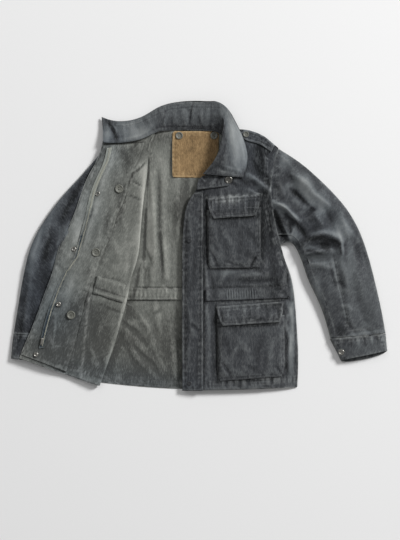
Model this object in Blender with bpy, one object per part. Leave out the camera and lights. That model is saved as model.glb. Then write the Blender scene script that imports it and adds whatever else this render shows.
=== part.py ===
"""A washed cotton field jacket, laid flat on its back. Metres, +Z up.

The wearer's left front (at +X) lies closed over the back. The right front is folded back on itself at a
soft roll, inside up, over its own side and the right sleeve. Each cut-and-sewn piece is a cloth wall
between two lattices of points. Tables are in millimetres: X to the right, Y towards the collar.
"""

import math

import bmesh
import bpy
import numpy as np
from mathutils import Vector
from mathutils.bvhtree import BVHTree

MM = 0.001

# Driving dimensions, in millimetres
CLOTH = 1.8
DOUBLE_CLOTH = 2.6
PATCH = 1.2
GAP = 0.3
CENTRE_LINE = -30
HALF_LENGTH, HALF_WIDTH = 400, 520
PILE_CELL = 3.0
SNAP_RADIUS = 6.6
TOP_SNAP_RADIUS = 10
LINER_BUTTON_RADIUS = 11.5
LABEL_BUTTON_RADIUS = 10
CUFF_SNAP_RADIUS = 8
GATHER_RISE = 2.6
FLAT_UNDER = 0.25
CUFF_SLIP = 11
SLEEVE_GIRTH = 330
LOWEST_ROLL = 0.42
CHANNEL_LIFT = 0.2
LABEL_LEFT, LABEL_RIGHT, LABEL_TOP, LABEL_FOOT = -70, 55, 309, 184

# Shares of a piece's length or girth
BACK_SHOWN = (0.12, 0.58)
BACK_GATHERED = (0.2, 0.56)
LEFT_GATHERED = (0.25, 0.62)
LEFT_SLEEVE_SEAM, RIGHT_SLEEVE_SEAM = 0.8, 0.9

# Gathers along each drawn-in channel
BACK_GATHERS, LEFT_GATHERS = 17, 12

# How far each laid piece bridges the steps in the pile under it, in millimetres
BRIDGES = {
    "back_waist_channel": 12,
    "label_patch": 9,
    "right_front_below": 18,
    "right_front_above": 33,
    "left_front": 13,
    "right_facing": 15,
    "right_waist_channel": 6,
    "right_zip_tape": 8,
    "zip_pin": 4,
    "left_placket": 9,
    "left_waist_channel": 10,
    "pocket_bag": 9,
    "pocket_flap": 10,
    "throat_tab": 12,
    "left_epaulette": 5,
    "collar": 18,
}

CHARCOAL = (0.060, 0.063, 0.070)
INSIDE_GREY = (0.165, 0.168, 0.155)
TAN = (0.30, 0.19, 0.075)
DARK_HORN = (0.035, 0.032, 0.028)
STEEL = (0.62, 0.62, 0.60)


def clear_scene():
    for obj in list(bpy.data.objects):
        bpy.data.objects.remove(obj)


def material(name, colour, roughness, metallic=0.0):
    made = bpy.data.materials.new(name)
    made.use_nodes = True
    shader = made.node_tree.nodes["Principled BSDF"]
    shader.inputs["Base Color"].default_value = (*colour, 1)
    shader.inputs["Roughness"].default_value = roughness
    shader.inputs["Metallic"].default_value = metallic
    return made


# Tables and the lattices made from them


def smooth(rows, places):
    """The table's columns at each place along it, from 0 to 1, on a curve through its rows."""
    rows = np.array(rows, float)
    steps = np.hypot(np.diff(rows[:, 0]), np.diff(rows[:, 1]))
    along = np.concatenate([[0], np.cumsum(steps)])
    along /= along[-1]
    slopes = np.gradient(rows, along, axis=0)
    out = []
    for place in places:
        row = min(np.searchsorted(along, place, side="right") - 1, len(rows) - 2)
        span = along[row + 1] - along[row]
        t = (place - along[row]) / span
        start = rows[row] * (2 * t**3 - 3 * t**2 + 1) + slopes[row] * span * (t**3 - 2 * t**2 + t)
        end = rows[row + 1] * (3 * t**2 - 2 * t**3) + slopes[row + 1] * span * (t**3 - t**2)
        out.append(start + end)
    return np.array(out)


def even(count):
    return np.linspace(0, 1, count)


def edge_dense(count, share=0.10):
    """Places from 0 to 1 that lie closer together near both ends."""
    t = even(count)
    return t - share * np.sin(2 * math.pi * t)


def across(rows, row_places, places):
    """A flat lattice from a table of left_x, left_y, right_x, right_y and, where given, bow."""
    stations = smooth(rows, row_places)
    left, right = stations[:, None, 0:2], stations[:, None, 2:4]
    s = np.array(places)[None, :, None]
    flat = left + (right - left) * s
    if stations.shape[1] > 4:
        flat[:, :, 1] += stations[:, None, 4] * (4 * s * (1 - s))[:, :, 0]
    return flat


def with_height(flat, height):
    return np.dstack([flat, height])


def outward(points):
    """Unit normals of a lattice whose rows run down the cloth and whose columns run to the right."""
    down = np.gradient(points, axis=0)
    right = np.gradient(points, axis=1)
    normal = np.cross(down, right)
    return normal / np.linalg.norm(normal, axis=2, keepdims=True)


def folds(flat, rows):
    """Height that soft folds add: a table of x1, y1, x2, y2, width, rise."""
    total = np.zeros(flat.shape[:2])
    for x1, y1, x2, y2, width, rise in rows:
        start = np.array([x1, y1], float)
        run = np.array([x2, y2], float) - start
        t = np.clip(((flat - start) @ run) / (run @ run), 0, 1)
        apart = np.linalg.norm(flat - start - t[:, :, None] * run, axis=2)
        total += rise * np.sin(math.pi * (0.15 + 0.7 * t)) * np.exp(-((apart / width) ** 2))
    return total


# Solids


def add_object(name, bm, look):
    mesh = bpy.data.meshes.new(name)
    bm.to_mesh(mesh)
    bm.free()
    mesh.materials.append(look)
    mesh.shade_smooth()
    mesh.set_sharp_from_angle(angle=math.radians(50))
    obj = bpy.data.objects.new(name, mesh)
    bpy.context.scene.collection.objects.link(obj)
    return obj


def wall(name, inner, look, thick=CLOTH, outer=None, around=False):
    """A cloth wall from a lattice to the same lattice moved out, closed at its rims."""
    if outer is None:
        outer = inner + outward(inner) * thick
    bm = bmesh.new()
    rows, columns = inner.shape[:2]
    low = [[bm.verts.new(point * MM) for point in row] for row in inner]
    high = [[bm.verts.new(point * MM) for point in row] for row in outer]
    last = columns if around else columns - 1
    for r in range(rows - 1):
        for c in range(last):
            d = (c + 1) % columns
            bm.faces.new([high[r][c], high[r + 1][c], high[r + 1][d], high[r][d]])
            bm.faces.new([low[r][d], low[r + 1][d], low[r + 1][c], low[r][c]])
    for c in range(last):
        d = (c + 1) % columns
        bm.faces.new([low[0][c], high[0][c], high[0][d], low[0][d]])
        bm.faces.new([low[-1][d], high[-1][d], high[-1][c], low[-1][c]])
    if not around:
        for r in range(rows - 1):
            bm.faces.new([low[r + 1][0], high[r + 1][0], high[r][0], low[r][0]])
            bm.faces.new([low[r][-1], high[r][-1], high[r + 1][-1], low[r + 1][-1]])
    return add_object(name, bm, look)


def turned(name, profile, place, tilt, look, sides=14):
    """A round piece turned from radius, height pairs, seated at a place with its axis tilted."""
    bm = bmesh.new()
    rings = []
    for radius, height in profile:
        ring = []
        for k in range(sides):
            angle = 2 * math.pi * k / sides
            spot = Vector((radius * math.cos(angle), radius * math.sin(angle), height)) * MM
            ring.append(bm.verts.new(spot))
        rings.append(ring)
    for low, high in zip(rings, rings[1:]):
        for k in range(sides):
            n = (k + 1) % sides
            bm.faces.new([low[k], low[n], high[n], high[k]])
    bm.faces.new(rings[-1])
    bm.faces.new(rings[0][::-1])
    obj = add_object(name, bm, look)
    obj.rotation_mode = "QUATERNION"
    obj.rotation_quaternion = Vector((0, 0, 1)).rotation_difference(Vector(tilt))
    obj.location = Vector(place) * MM
    return obj


class Pile:
    """Height of the cloth laid so far, on a square grid over the floor, in millimetres."""

    def __init__(self):
        self.xs = np.arange(-HALF_WIDTH, HALF_WIDTH + 1, PILE_CELL)
        self.ys = np.arange(-HALF_LENGTH, HALF_LENGTH + 1, PILE_CELL)
        self.tops = np.zeros((len(self.xs), len(self.ys)))

    def add(self, obj):
        bpy.context.view_layer.update()
        corners = [obj.matrix_world @ vertex.co / MM for vertex in obj.data.vertices]
        tree = BVHTree.FromPolygons(corners, [tuple(face.vertices) for face in obj.data.polygons])
        spread = np.array(corners)
        low, high = spread.min(axis=0), spread.max(axis=0)
        for i in np.flatnonzero((self.xs > low[0]) & (self.xs < high[0])):
            for j in np.flatnonzero((self.ys > low[1]) & (self.ys < high[1])):
                spot = tree.ray_cast(Vector((self.xs[i], self.ys[j], 999)), Vector((0, 0, -1)))[0]
                if spot is not None:
                    self.tops[i, j] = max(self.tops[i, j], spot.z)
        return obj

    def cover(self, flat, reach):
        """Height of a cloth that bridges steps narrower than the reach."""
        cells = round(reach / PILE_CELL)
        blur = cells // 2
        map_ = self.tops
        for axis in (0, 1):
            map_ = np.max([np.roll(map_, k, axis) for k in range(-cells, cells + 1)], axis=0)
        for axis in (0, 1):
            map_ = np.mean([np.roll(map_, k, axis) for k in range(-blur, blur + 1)], axis=0)
        i = (flat[..., 0] - self.xs[0]) / PILE_CELL
        j = (flat[..., 1] - self.ys[0]) / PILE_CELL
        i0 = i.astype(int)
        j0 = j.astype(int)
        u, v = i - i0, j - j0
        near = map_[i0, j0] * (1 - u) * (1 - v) + map_[i0 + 1, j0] * u * (1 - v)
        return near + map_[i0, j0 + 1] * (1 - u) * v + map_[i0 + 1, j0 + 1] * u * v


def laid(pile, flat, piece, loft=0.0):
    """A lattice that rests on the pile, a gap above it, and rises by its own loft."""
    return with_height(flat, pile.cover(flat, BRIDGES[piece]) + GAP + loft)


# The back panel: y, half width, bow of the row, rise of its left end, from the shoulders to the hem
BACK_ROWS = [
    (259, 229, 58, 0),
    (240, 227, 34, 0),
    (184, 222, 4, 0),
    (116, 223, 0, 0),
    (50, 235, 0, 0),
    (5, 250, 0, 0),
    (-65, 270, 0, 0),
    (-119, 285, 0, 0),
    (-200, 291, 0, 0),
    (-281, 296, 0, 4),
    (-348, 297, -6, 14),
    (-381, 296, -16, 21),
]

# Folds of the back's inside: x1, y1, x2, y2, width, rise
BACK_FOLDS = [
    (-75, 260, -100, 60, 26, 7),
    (-120, 110, -118, -20, 18, 8),
    (-95, 60, -88, -95, 15, 7),
    (-140, -15, -150, -100, 16, 7),
    (-55, 150, -50, -30, 22, 5),
    (-205, -215, -150, -250, 15, 5),
    (-175, -270, -110, -350, 17, 6),
    (-90, -190, -60, -330, 20, 4),
    (20, 150, 30, -60, 40, 4),
]

# The waist channel on the back's inside: left_x, left_y, right_x, right_y
BACK_CHANNEL_ROWS = [
    (-300, -113, 238, -113),
    (-303, -146, 242, -146),
]


def back_lattice(row_places, places):
    table = [(CENTRE_LINE - half, y + rise, CENTRE_LINE + half, y, bow) for y, half, bow, rise in BACK_ROWS]
    return across(table, row_places, places)


def build_back(pile, looks):
    shown = np.linspace(*BACK_SHOWN, 17)
    places = np.concatenate([[0, 0.03], shown, [0.7, 0.82, 0.93, 1]])
    flat = back_lattice(even(24), places)
    height = folds(flat, BACK_FOLDS)
    height[height < FLAT_UNDER] = 0
    pile.add(wall("back_panel", with_height(flat, height), looks["inside"]))


def gathered(pile, name, table, waves, look, span):
    """A drawn-in waist channel: a band whose cloth waves along its length between two edges."""
    start, end = span
    ends = [place for place in (0, 0.33 * start, 0.67 * start) if place < start]
    tail = [1 - place for place in (0.67 * (1 - end), 0.33 * (1 - end), 0) if 1 - place > end]
    places = np.concatenate([ends, np.linspace(start, end, 4 * waves + 1), tail])
    flat = across(table, even(4), places)
    phase = (places - start) / (end - start)
    inside = (phase > 0) & (phase < 1)
    puff = np.sin(2 * math.pi * waves * phase) * inside * (1 + 0.35 * np.sin(9 * phase))
    shape = np.sin(math.pi * even(4))[:, None] ** 0.6
    loft = GATHER_RISE * shape * (0.5 + 0.36 * puff[None, :])
    pile.add(wall(name, laid(pile, flat, name, loft), look))


# The sleeves: outer_x, outer_y, inner_x, inner_y, height, bow of the row, from the armhole to the cuff
LEFT_SLEEVE_ROWS = [
    (214, 260, 221, 5, 20, -24),
    (275, 222, 246, 11, 22, -8),
    (340, 162, 262, -3, 24, 0),
    (394, 105, 273, -27, 25, 0),
    (429, 46, 284, -54, 24, 0),
    (451, -11, 297, -97, 22, 0),
    (466, -65, 316, -132, 21, 0),
    (478, -116, 332, -167, 20, 0),
    (492, -176, 346, -211, 19, 0),
    (502, -236, 356, -249, 17, 0),
]
LEFT_CUFF_ROWS = [
    (502, -237, 356, -250, 17, 0),
    (504, -262, 372, -280, 18, 0),
    (506, -283, 386, -308, 18, 0),
]
RIGHT_SLEEVE_ROWS = [
    (-262, 250, -281, 5, 14, 17),
    (-310, 192, -294, 0, 15, 8),
    (-368, 130, -300, -24, 16, 0),
    (-410, 73, -305, -59, 16, 0),
    (-440, 24, -310, -84, 16, 0),
    (-459, -27, -316, -105, 16, 0),
    (-468, -70, -324, -127, 15, 0),
    (-477, -119, -335, -159, 15, 0),
    (-487, -178, -348, -202, 14, 0),
    (-496, -236, -359, -246, 14, 0),
]
RIGHT_CUFF_ROWS = [
    (-496, -237, -359, -247, 14, 0),
    (-500, -272, -371, -281, 13, 0),
    (-503, -304, -381, -316, 13, 0),
]

# Folds of the left sleeve's top: x1, y1, x2, y2, width, rise
LEFT_SLEEVE_FOLDS = [
    (280, 10, 330, 22, 12, 9),
    (330, 26, 384, 10, 14, 10),
    (282, -20, 345, -12, 12, 9),
    (300, 65, 345, 110, 18, 5),
    (345, 105, 400, 10, 16, 5),
    (240, 190, 320, 135, 18, 5),
    (300, -100, 350, -50, 14, 4),
    (350, -140, 430, -60, 16, 4),
]


def sleeve_ring(rows, row_places, around, folds_table=(), slip=0):
    """Inner points round a flattened sleeve. Places 0 to 1 cross its top, 1 to 2 come back below."""
    stations = smooth(rows, row_places)
    place = np.array(around)[None, :]
    top = place <= 1
    turn = math.pi * place
    reach = np.cos(turn)
    s = (1 - reach) / 2
    height = stations[:, 4][:, None]
    middle = LOWEST_ROLL * height
    lift = np.abs(np.sin(turn)) ** 0.8
    flat_x = stations[:, 0][:, None] * (1 - s) + stations[:, 2][:, None] * s
    flat_y = stations[:, 1][:, None] * (1 - s) + stations[:, 3][:, None] * s
    flat_x = flat_x + stations[:, 5][:, None] * 4 * s * (1 - s)
    flat = np.dstack([flat_x, flat_y])
    run = stations[-1, 0:2] - stations[0, 0:2]
    beyond = slip * np.array(row_places)[:, None] ** 2 * lift * ~top
    flat += beyond[:, :, None] * run / np.linalg.norm(run)
    rise = folds(flat, folds_table) * lift
    over = middle + (height - middle) * lift + rise
    under = CLOTH + (middle - CLOTH) * (1 - np.minimum(1, 1.6 * lift))
    return with_height(flat, np.where(top, over, under))


def ring_walls(ring, thick):
    """The outer points of a closed ring of cloth, no lower than the floor."""
    down = np.gradient(ring, axis=0)
    right = np.roll(ring, -1, 1) - np.roll(ring, 1, 1)
    normal = np.cross(down, right)
    outer = ring + normal / np.linalg.norm(normal, axis=2, keepdims=True) * thick
    outer[:, :, 2] = np.maximum(outer[:, :, 2], 0)
    return outer


def build_sleeve(pile, look, side, rows, cuff_rows, folds_table, seam, slip):
    """Top sleeve and under sleeve, a gap apart at two seams, and the cuff, a ring of its own."""
    half_gap = 0.5 * GAP / SLEEVE_GIRTH
    top_places = np.clip(seam * edge_dense(12, 0.04), half_gap, seam - half_gap)
    under_places = np.clip(seam + (2 - seam) * edge_dense(13, 0.04), seam + half_gap, 2 - half_gap)
    pieces = [(f"{side}_top_sleeve", top_places), (f"{side}_under_sleeve", under_places)]
    around = 2 * even(23)[:-1]
    if side == "left":
        pieces = [(name, places[::-1]) for name, places in pieces[::-1]]
        around = around[::-1]
    ring = sleeve_ring(rows, even(13), np.concatenate([pieces[0][1], pieces[1][1]]), folds_table)
    outer = ring_walls(ring, CLOTH)
    first = slice(0, len(pieces[0][1]))
    second = slice(len(pieces[0][1]), None)
    pile.add(wall(pieces[0][0], ring[:, first], look, outer=outer[:, first]))
    pile.add(wall(pieces[1][0], ring[:, second], look, outer=outer[:, second]))
    cuff = sleeve_ring(cuff_rows, even(4), around, slip=slip)
    pile.add(wall(f"{side}_cuff", cuff, look, outer=ring_walls(cuff, DOUBLE_CLOTH), around=True))


# The right front: side_x, side_y, fold_x, fold_y, edge_x, edge_y, height of the roll
RIGHT_FRONT_ROWS = [
    (-200, 288, -112, 315, -258, 281, 12),
    (-222, 259, -134, 256, -262, 254, 12),
    (-240, 238, -136, 219, -278, 219, 12),
    (-246, 192, -138, 184, -298, 186, 13),
    (-248, 138, -147, 127, -319, 130, 14),
    (-254, 84, -153, 70, -338, 70, 14),
    (-264, 38, -157, 16, -370, 16, 14),
    (-276, -11, -162, -35, -383, -38, 14),
    (-284, -59, -180, -81, -394, -78, 14),
    (-290, -111, -189, -135, -413, -127, 14),
    (-297, -162, -200, -178, -432, -181, 14),
    (-302, -213, -215, -230, -448, -224, 14),
    (-307, -267, -230, -281, -467, -265, 14),
    (-312, -321, -248, -329, -475, -286, 14),
    (-316, -362, -265, -376, -482, -303, 14),
]
FRONT_EDGE_HEIGHT = 9
FRONT_SAG = 4


def build_right_front(pile, looks):
    """One wall: from the side seam over the back, round the roll, and over the sleeve to the edge."""
    stations = smooth(RIGHT_FRONT_ROWS, even(19))
    side, fold, edge = stations[:, 0:2], stations[:, 2:4], stations[:, 4:6]
    roll_height = stations[:, 6]
    low_places, turn_angles = even(6)[:-1], np.radians([-90, -45, 0, 45, 90])
    upper_places = edge_dense(12, 0.05)[1:]
    columns = []
    for place in low_places:
        flat = side + (fold - side) * place
        flat[:, 0] -= 0.5 * roll_height * place
        height = pile.cover(flat, BRIDGES["right_front_below"]) + GAP + CLOTH
        columns.append(np.column_stack([flat, height]))
    foot = pile.cover(fold, BRIDGES["right_front_below"]) + GAP + CLOTH
    radius = 0.5 * (roll_height - foot)
    for angle in turn_angles:
        flat = fold.copy()
        flat[:, 0] += radius * (math.cos(angle) - 1) - CLOTH
        columns.append(np.column_stack([flat, foot + radius * (1 + math.sin(angle))]))
    roll_top = columns[-1]
    for place in upper_places:
        flat = roll_top[:, :2] + (edge - roll_top[:, :2]) * place
        own = roll_top[:, 2] * (1 - place) + FRONT_EDGE_HEIGHT * place
        own = own - FRONT_SAG * np.sin(math.pi * place)
        height = np.maximum(pile.cover(flat, BRIDGES["right_front_above"]) + GAP, own)
        columns.append(np.column_stack([flat, height]))
    pile.add(wall("right_front", np.stack(columns[::-1], axis=1), looks["inside"]))


# The facing along the right front's edge: edge_x, edge_y, inner_x, inner_y
FACING_ROWS = [
    (-256, 270, -142, 280),
    (-264, 238, -156, 238),
    (-291, 192, -184, 184),
    (-316, 130, -196, 124),
    (-332, 78, -219, 76),
    (-361, 22, -235, 22),
    (-379, -27, -259, -27),
    (-391, -78, -278, -81),
    (-410, -127, -297, -127),
    (-426, -173, -308, -173),
    (-445, -222, -321, -227),
    (-461, -260, -335, -278),
    (-476, -292, -354, -338),
]

# The zip tape: left_x, left_y, right_x, right_y
ZIP_ROWS = [
    (-246, 262, -232, 264),
    (-254, 224, -240, 226),
    (-272, 186, -258, 190),
    (-289, 144, -275, 148),
    (-305, 72, -291, 76),
    (-322, 10, -308, 12),
    (-334, -32, -320, -30),
    (-362, -72, -348, -68),
    (-383, -118, -369, -114),
    (-404, -176, -390, -174),
    (-420, -236, -406, -232),
    (-428, -276, -414, -274),
]

# The waist channel inside the right front: left_x, left_y, right_x, right_y
RIGHT_CHANNEL_ROWS = [
    (-272, -80, -192, -104),
    (-284, -128, -203, -153),
]

# The left front: left_x, left_y, left_z, right_x, right_y, right_z, crest, bow of the row
LEFT_FRONT_ROWS = [
    (88, 310, 6, 215, 262, 4, 4, 20),
    (78, 300, 7, 208, 243, 12, 2, 14),
    (66, 276, 8, 201, 216, 17, 2, 7),
    (52, 246, 9, 197, 184, 20, 1, 2),
    (32, 205, 9, 195, 151, 21, 0, 0),
    (6, 178, 9, 197, 116, 21, 0, 0),
    (-9, 146, 9, 202, 78, 19, 1, 0),
    (-24, 113, 9, 211, 40, 14, 4, 0),
    (-31, 76, 9, 220, 8, 6, 8, 0),
    (-37, 32, 9, 231, -35, 3, 12, 0),
    (-38, -24, 9, 246, -73, 3, 12, 0),
    (-40, -86, 9, 256, -119, 3, 11, 0),
    (-41, -146, 9, 260, -159, 3, 11, 0),
    (-41, -213, 9, 264, -213, 3, 11, 0),
    (-41, -281, 9, 268, -281, 3, 10, 0),
    (-41, -340, 8, 268, -335, 3, 9, 0),
    (-39, -389, 7, 266, -381, 3, 8, -2),
]

# Folds of the left front: x1, y1, x2, y2, width, rise
LEFT_FRONT_FOLDS = [
    (113, -97, 190, -100, 12, 3),
    (250, -160, 232, -215, 12, 4),
    (247, -250, 240, -305, 12, 4),
    (215, 60, 205, 10, 12, 5),
    (180, 130, 188, 20, 16, 3),
]


def build_left_front(pile, looks):
    stations = smooth(LEFT_FRONT_ROWS, even(24))
    s = edge_dense(17, 0.06)[None, :]
    left, right = stations[:, 0:3], stations[:, 3:6]
    lattice = left[:, None, :] + (right - left)[:, None, :] * s[:, :, None]
    lattice[:, :, 1] += stations[:, 7][:, None] * 4 * s * (1 - s)
    flat, height = lattice[:, :, :2], lattice[:, :, 2]
    bump = 1 - np.abs(2 * s - 1) ** 5
    height = height + stations[:, 6][:, None] * bump + folds(flat, LEFT_FRONT_FOLDS)
    height = np.maximum(height, pile.cover(flat, BRIDGES["left_front"]) + GAP)
    pile.add(wall("left_front", with_height(flat, height), looks["outside"]))


# The placket: left_x, left_y, right_x, right_y
PLACKET_ROWS = [
    (-14, 140, 12, 146),
    (-24, 126, 12, 130),
    (-32, 108, 12, 110),
    (-37, 84, 12, 84),
    (-40, 50, 12, 50),
    (-43, -73, 12, -73),
    (-44, -254, 12, -254),
    (-43, -390, 12, -390),
]
THROAT_TAB_ROWS = [
    (12, 189, 100, 194),
    (0, 176, 92, 180),
    (-5, 150, 80, 160),
]

# The left waist channel: left_x, left_y, right_x, right_y
LEFT_CHANNEL_ROWS = [
    (19, -117, 240, -108),
    (19, -149, 243, -141),
]

# The collar, from the open right end to the left tip: x, y, z at the seam, the roll and the edge
COLLAR_ROWS = [
    (-256, 277, 16, -257, 310, 10, -261, 347, 5),
    (-230, 275, 17, -232, 308, 11, -238, 338, 6),
    (-192, 278, 18, -200, 306, 13, -202, 335, 7),
    (-159, 284, 19, -167, 313, 15, -170, 340, 8),
    (-132, 296, 16, -136, 324, 17, -140, 352, 10),
    (-105, 309, 9, -107, 341, 17, -111, 371, 12),
    (-73, 312, 5, -74, 349, 17, -76, 383, 14),
    (-30, 313, 4, -26, 352, 18, -19, 389, 17),
    (14, 313, 5, 22, 352, 21, 30, 387, 20),
    (44, 309, 8, 54, 350, 27, 58, 385, 26),
    (55, 306, 11, 66, 347, 31, 78, 373, 31),
    (63, 300, 13, 74, 340, 34, 86, 350, 32),
    (72, 290, 16, 69, 322, 36, 106, 321, 22),
    (73, 267, 17, 61, 290, 35, 121, 284, 20),
    (68, 246, 17, 56, 258, 34, 132, 251, 19),
    (57, 224, 17, 47, 236, 33, 131, 221, 19),
    (40, 206, 16, 32, 214, 29, 127, 198, 20),
    (19, 190, 14, 12, 193, 22, 121, 183, 20),
]
STAND_ARC = 5
LEAF_ARC = 16
TURNED_DOWN_REACH = 30


def build_collar(pile, looks):
    """Seam, roll and edge of each section, joined by an arc: open at one end, turned down at the other."""
    stations = smooth(COLLAR_ROWS, even(27))
    seam, roll, edge = stations[:, 0:3], stations[:, 3:6], stations[:, 6:9]
    columns = []
    for t in even(9):
        if t < 0.5:
            w = 2 * t
            point = seam + (roll - seam) * w
            point[:, 2] += STAND_ARC * w * (1 - w)
        else:
            w = 2 * t - 1
            point = roll + (edge - roll) * w
            turned_down = edge[:, 0] - roll[:, 0] > TURNED_DOWN_REACH
            point[:, 2] += LEAF_ARC * w * (1 - w) * turned_down
        columns.append(point)
    lattice = np.stack(columns[::-1], axis=0)
    floor = pile.cover(lattice[:, :, :2], BRIDGES["collar"]) + GAP
    lattice[:, :, 2] = np.maximum(lattice[:, :, 2], floor)
    pile.add(wall("collar", lattice, looks["outside"], DOUBLE_CLOTH))


# The shoulder strap: upper_x, upper_y, lower_x, lower_y from the button end to the shoulder seam
EPAULETTE_ROWS = [
    (112, 302, 115, 292),
    (122, 309, 124, 285),
    (143, 308, 144, 278),
    (167, 299, 165, 272),
    (190, 284, 183, 261),
    (203, 268, 196, 252),
]

# Pockets: left_x, left_y, right_x, right_y, and the bag's rise at that row
CHEST_BAG_ROWS = [
    (24, 96, 166, 104, 8.5),
    (24, 60, 166, 62, 9.0),
    (26, 16, 166, 16, 9.0),
    (26, -35, 166, -33, 8.0),
    (28, -52, 165, -50, 5.0),
    (32, -61, 161, -58, 0.0),
]
CHEST_FLAP_ROWS = [
    (24, 126, 169, 138),
    (26, 108, 166, 116),
    (31, 89, 161, 94),
    (42, 72, 154, 80),
]
LOWER_BAG_ROWS = [
    (51, -197, 230, -186, 7.0),
    (51, -240, 231, -235, 8.5),
    (51, -281, 231, -275, 8.5),
    (52, -335, 231, -327, 7.5),
    (54, -352, 229, -342, 5.5),
    (58, -363, 225, -351, 0.0),
]
LOWER_FLAP_ROWS = [
    (48, -164, 228, -150),
    (51, -181, 227, -170),
    (55, -197, 224, -189),
    (65, -215, 217, -205),
]


def build_pocket(pile, looks, name, bag_rows, flap_rows):
    """A bag that stands off the front, open at the top, under a flap of double cloth."""
    places = np.array([0, 0.03, 0.10, 0.3, 0.5, 0.7, 0.90, 0.97, 1])
    stations = smooth(bag_rows, [0, 0.25, 0.5, 0.72, 0.86, 0.94, 1])
    flat = stations[:, None, 0:2] + (stations[:, 2:4] - stations[:, 0:2])[:, None, :] * places[None, :, None]
    side = np.array([0, 0.75, 1, 1, 1, 1, 1, 0.75, 0])
    loft = stations[:, 4][:, None] * side[None, :]
    pile.add(wall(f"{name}_bag", laid(pile, flat, "pocket_bag", loft), looks["outside"]))
    flap = across(flap_rows, even(5), edge_dense(9, 0.05))
    pile.add(wall(f"{name}_flap", laid(pile, flap, "pocket_flap"), looks["outside"], DOUBLE_CLOTH))


# The pin at the zip's lower end: left_x, left_y, right_x, right_y
ZIP_PIN_ROWS = [
    (-422, -248, -416, -247),
    (-424, -266, -418, -265),
]

ROUND_PIECES = [
    # name, x, y, radius, height, look
    ("fly_stud_1", -270, 139, SNAP_RADIUS, 3.2, "steel"),
    ("fly_stud_2", -334, -9, SNAP_RADIUS, 3.2, "steel"),
    ("fly_stud_3", -375, -157, SNAP_RADIUS, 3.2, "steel"),
    ("fly_stud_4", -436, -292, SNAP_RADIUS, 3.2, "steel"),
    ("liner_button_1", -213, 153, LINER_BUTTON_RADIUS, 3.0, "horn"),
    ("liner_button_2", -275, -18, LINER_BUTTON_RADIUS, 3.0, "horn"),
    ("liner_button_3", -342, -186, LINER_BUTTON_RADIUS, 3.0, "horn"),
    ("label_button_1", -52, 297, LABEL_BUTTON_RADIUS, 3.0, "horn"),
    ("label_button_2", 42, 297, LABEL_BUTTON_RADIUS, 3.0, "horn"),
    ("epaulette_button", 128, 299, 8, 2.8, "horn"),
    ("placket_stud_1", -24, 14, SNAP_RADIUS, 1.6, "cap"),
    ("placket_stud_2", -26, -180, SNAP_RADIUS, 1.6, "cap"),
    ("placket_stud_3", -24, -370, SNAP_RADIUS, 1.6, "cap"),
    ("top_stud", 81, 176, TOP_SNAP_RADIUS, 2.2, "steel"),
    ("left_cuff_stud", 384, -286, CUFF_SNAP_RADIUS, 2.4, "steel"),
]

# Right, left, above, below and middle of a round piece, in radii
SEAT_SPOTS = [(1, 0), (-1, 0), (0, 1), (0, -1), (0, 0)]


def round_profile(radius, height):
    """A dished stud or button: straight side, rounded rim and a shallow bowl in its face."""
    return [
        (0.55 * radius, 0),
        (0.92 * radius, 0.15 * height),
        (radius, 0.55 * height),
        (0.88 * radius, height),
        (0.55 * radius, 0.8 * height),
    ]


def build_round_pieces(pile, looks):
    """Each is seated on the cloth, square to the slope under it."""
    for name, x, y, radius, height, look in ROUND_PIECES:
        z = pile.cover(np.array([x, y]) + radius * np.array(SEAT_SPOTS), 0)
        slope_x = (z[0] - z[1]) / (2 * radius)
        slope_y = (z[2] - z[3]) / (2 * radius)
        seat = max(z[4], 0.5 * (z[0] + z[1]), 0.5 * (z[2] + z[3])) + GAP
        turned(name, round_profile(radius, height), (x, y, seat), (-slope_x, -slope_y, 1), looks[look])


def centre_on_floor():
    """Moves every piece so that the origin is the middle of the whole, on the floor."""
    bpy.context.view_layer.update()
    pieces = [obj for obj in bpy.context.scene.objects if obj.type == "MESH"]
    corners = np.array([obj.matrix_world @ vertex.co for obj in pieces for vertex in obj.data.vertices])
    low, high = corners.min(axis=0), corners.max(axis=0)
    shift = Vector(((low[0] + high[0]) / 2, (low[1] + high[1]) / 2, low[2]))
    for obj in pieces:
        obj.location -= shift


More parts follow.
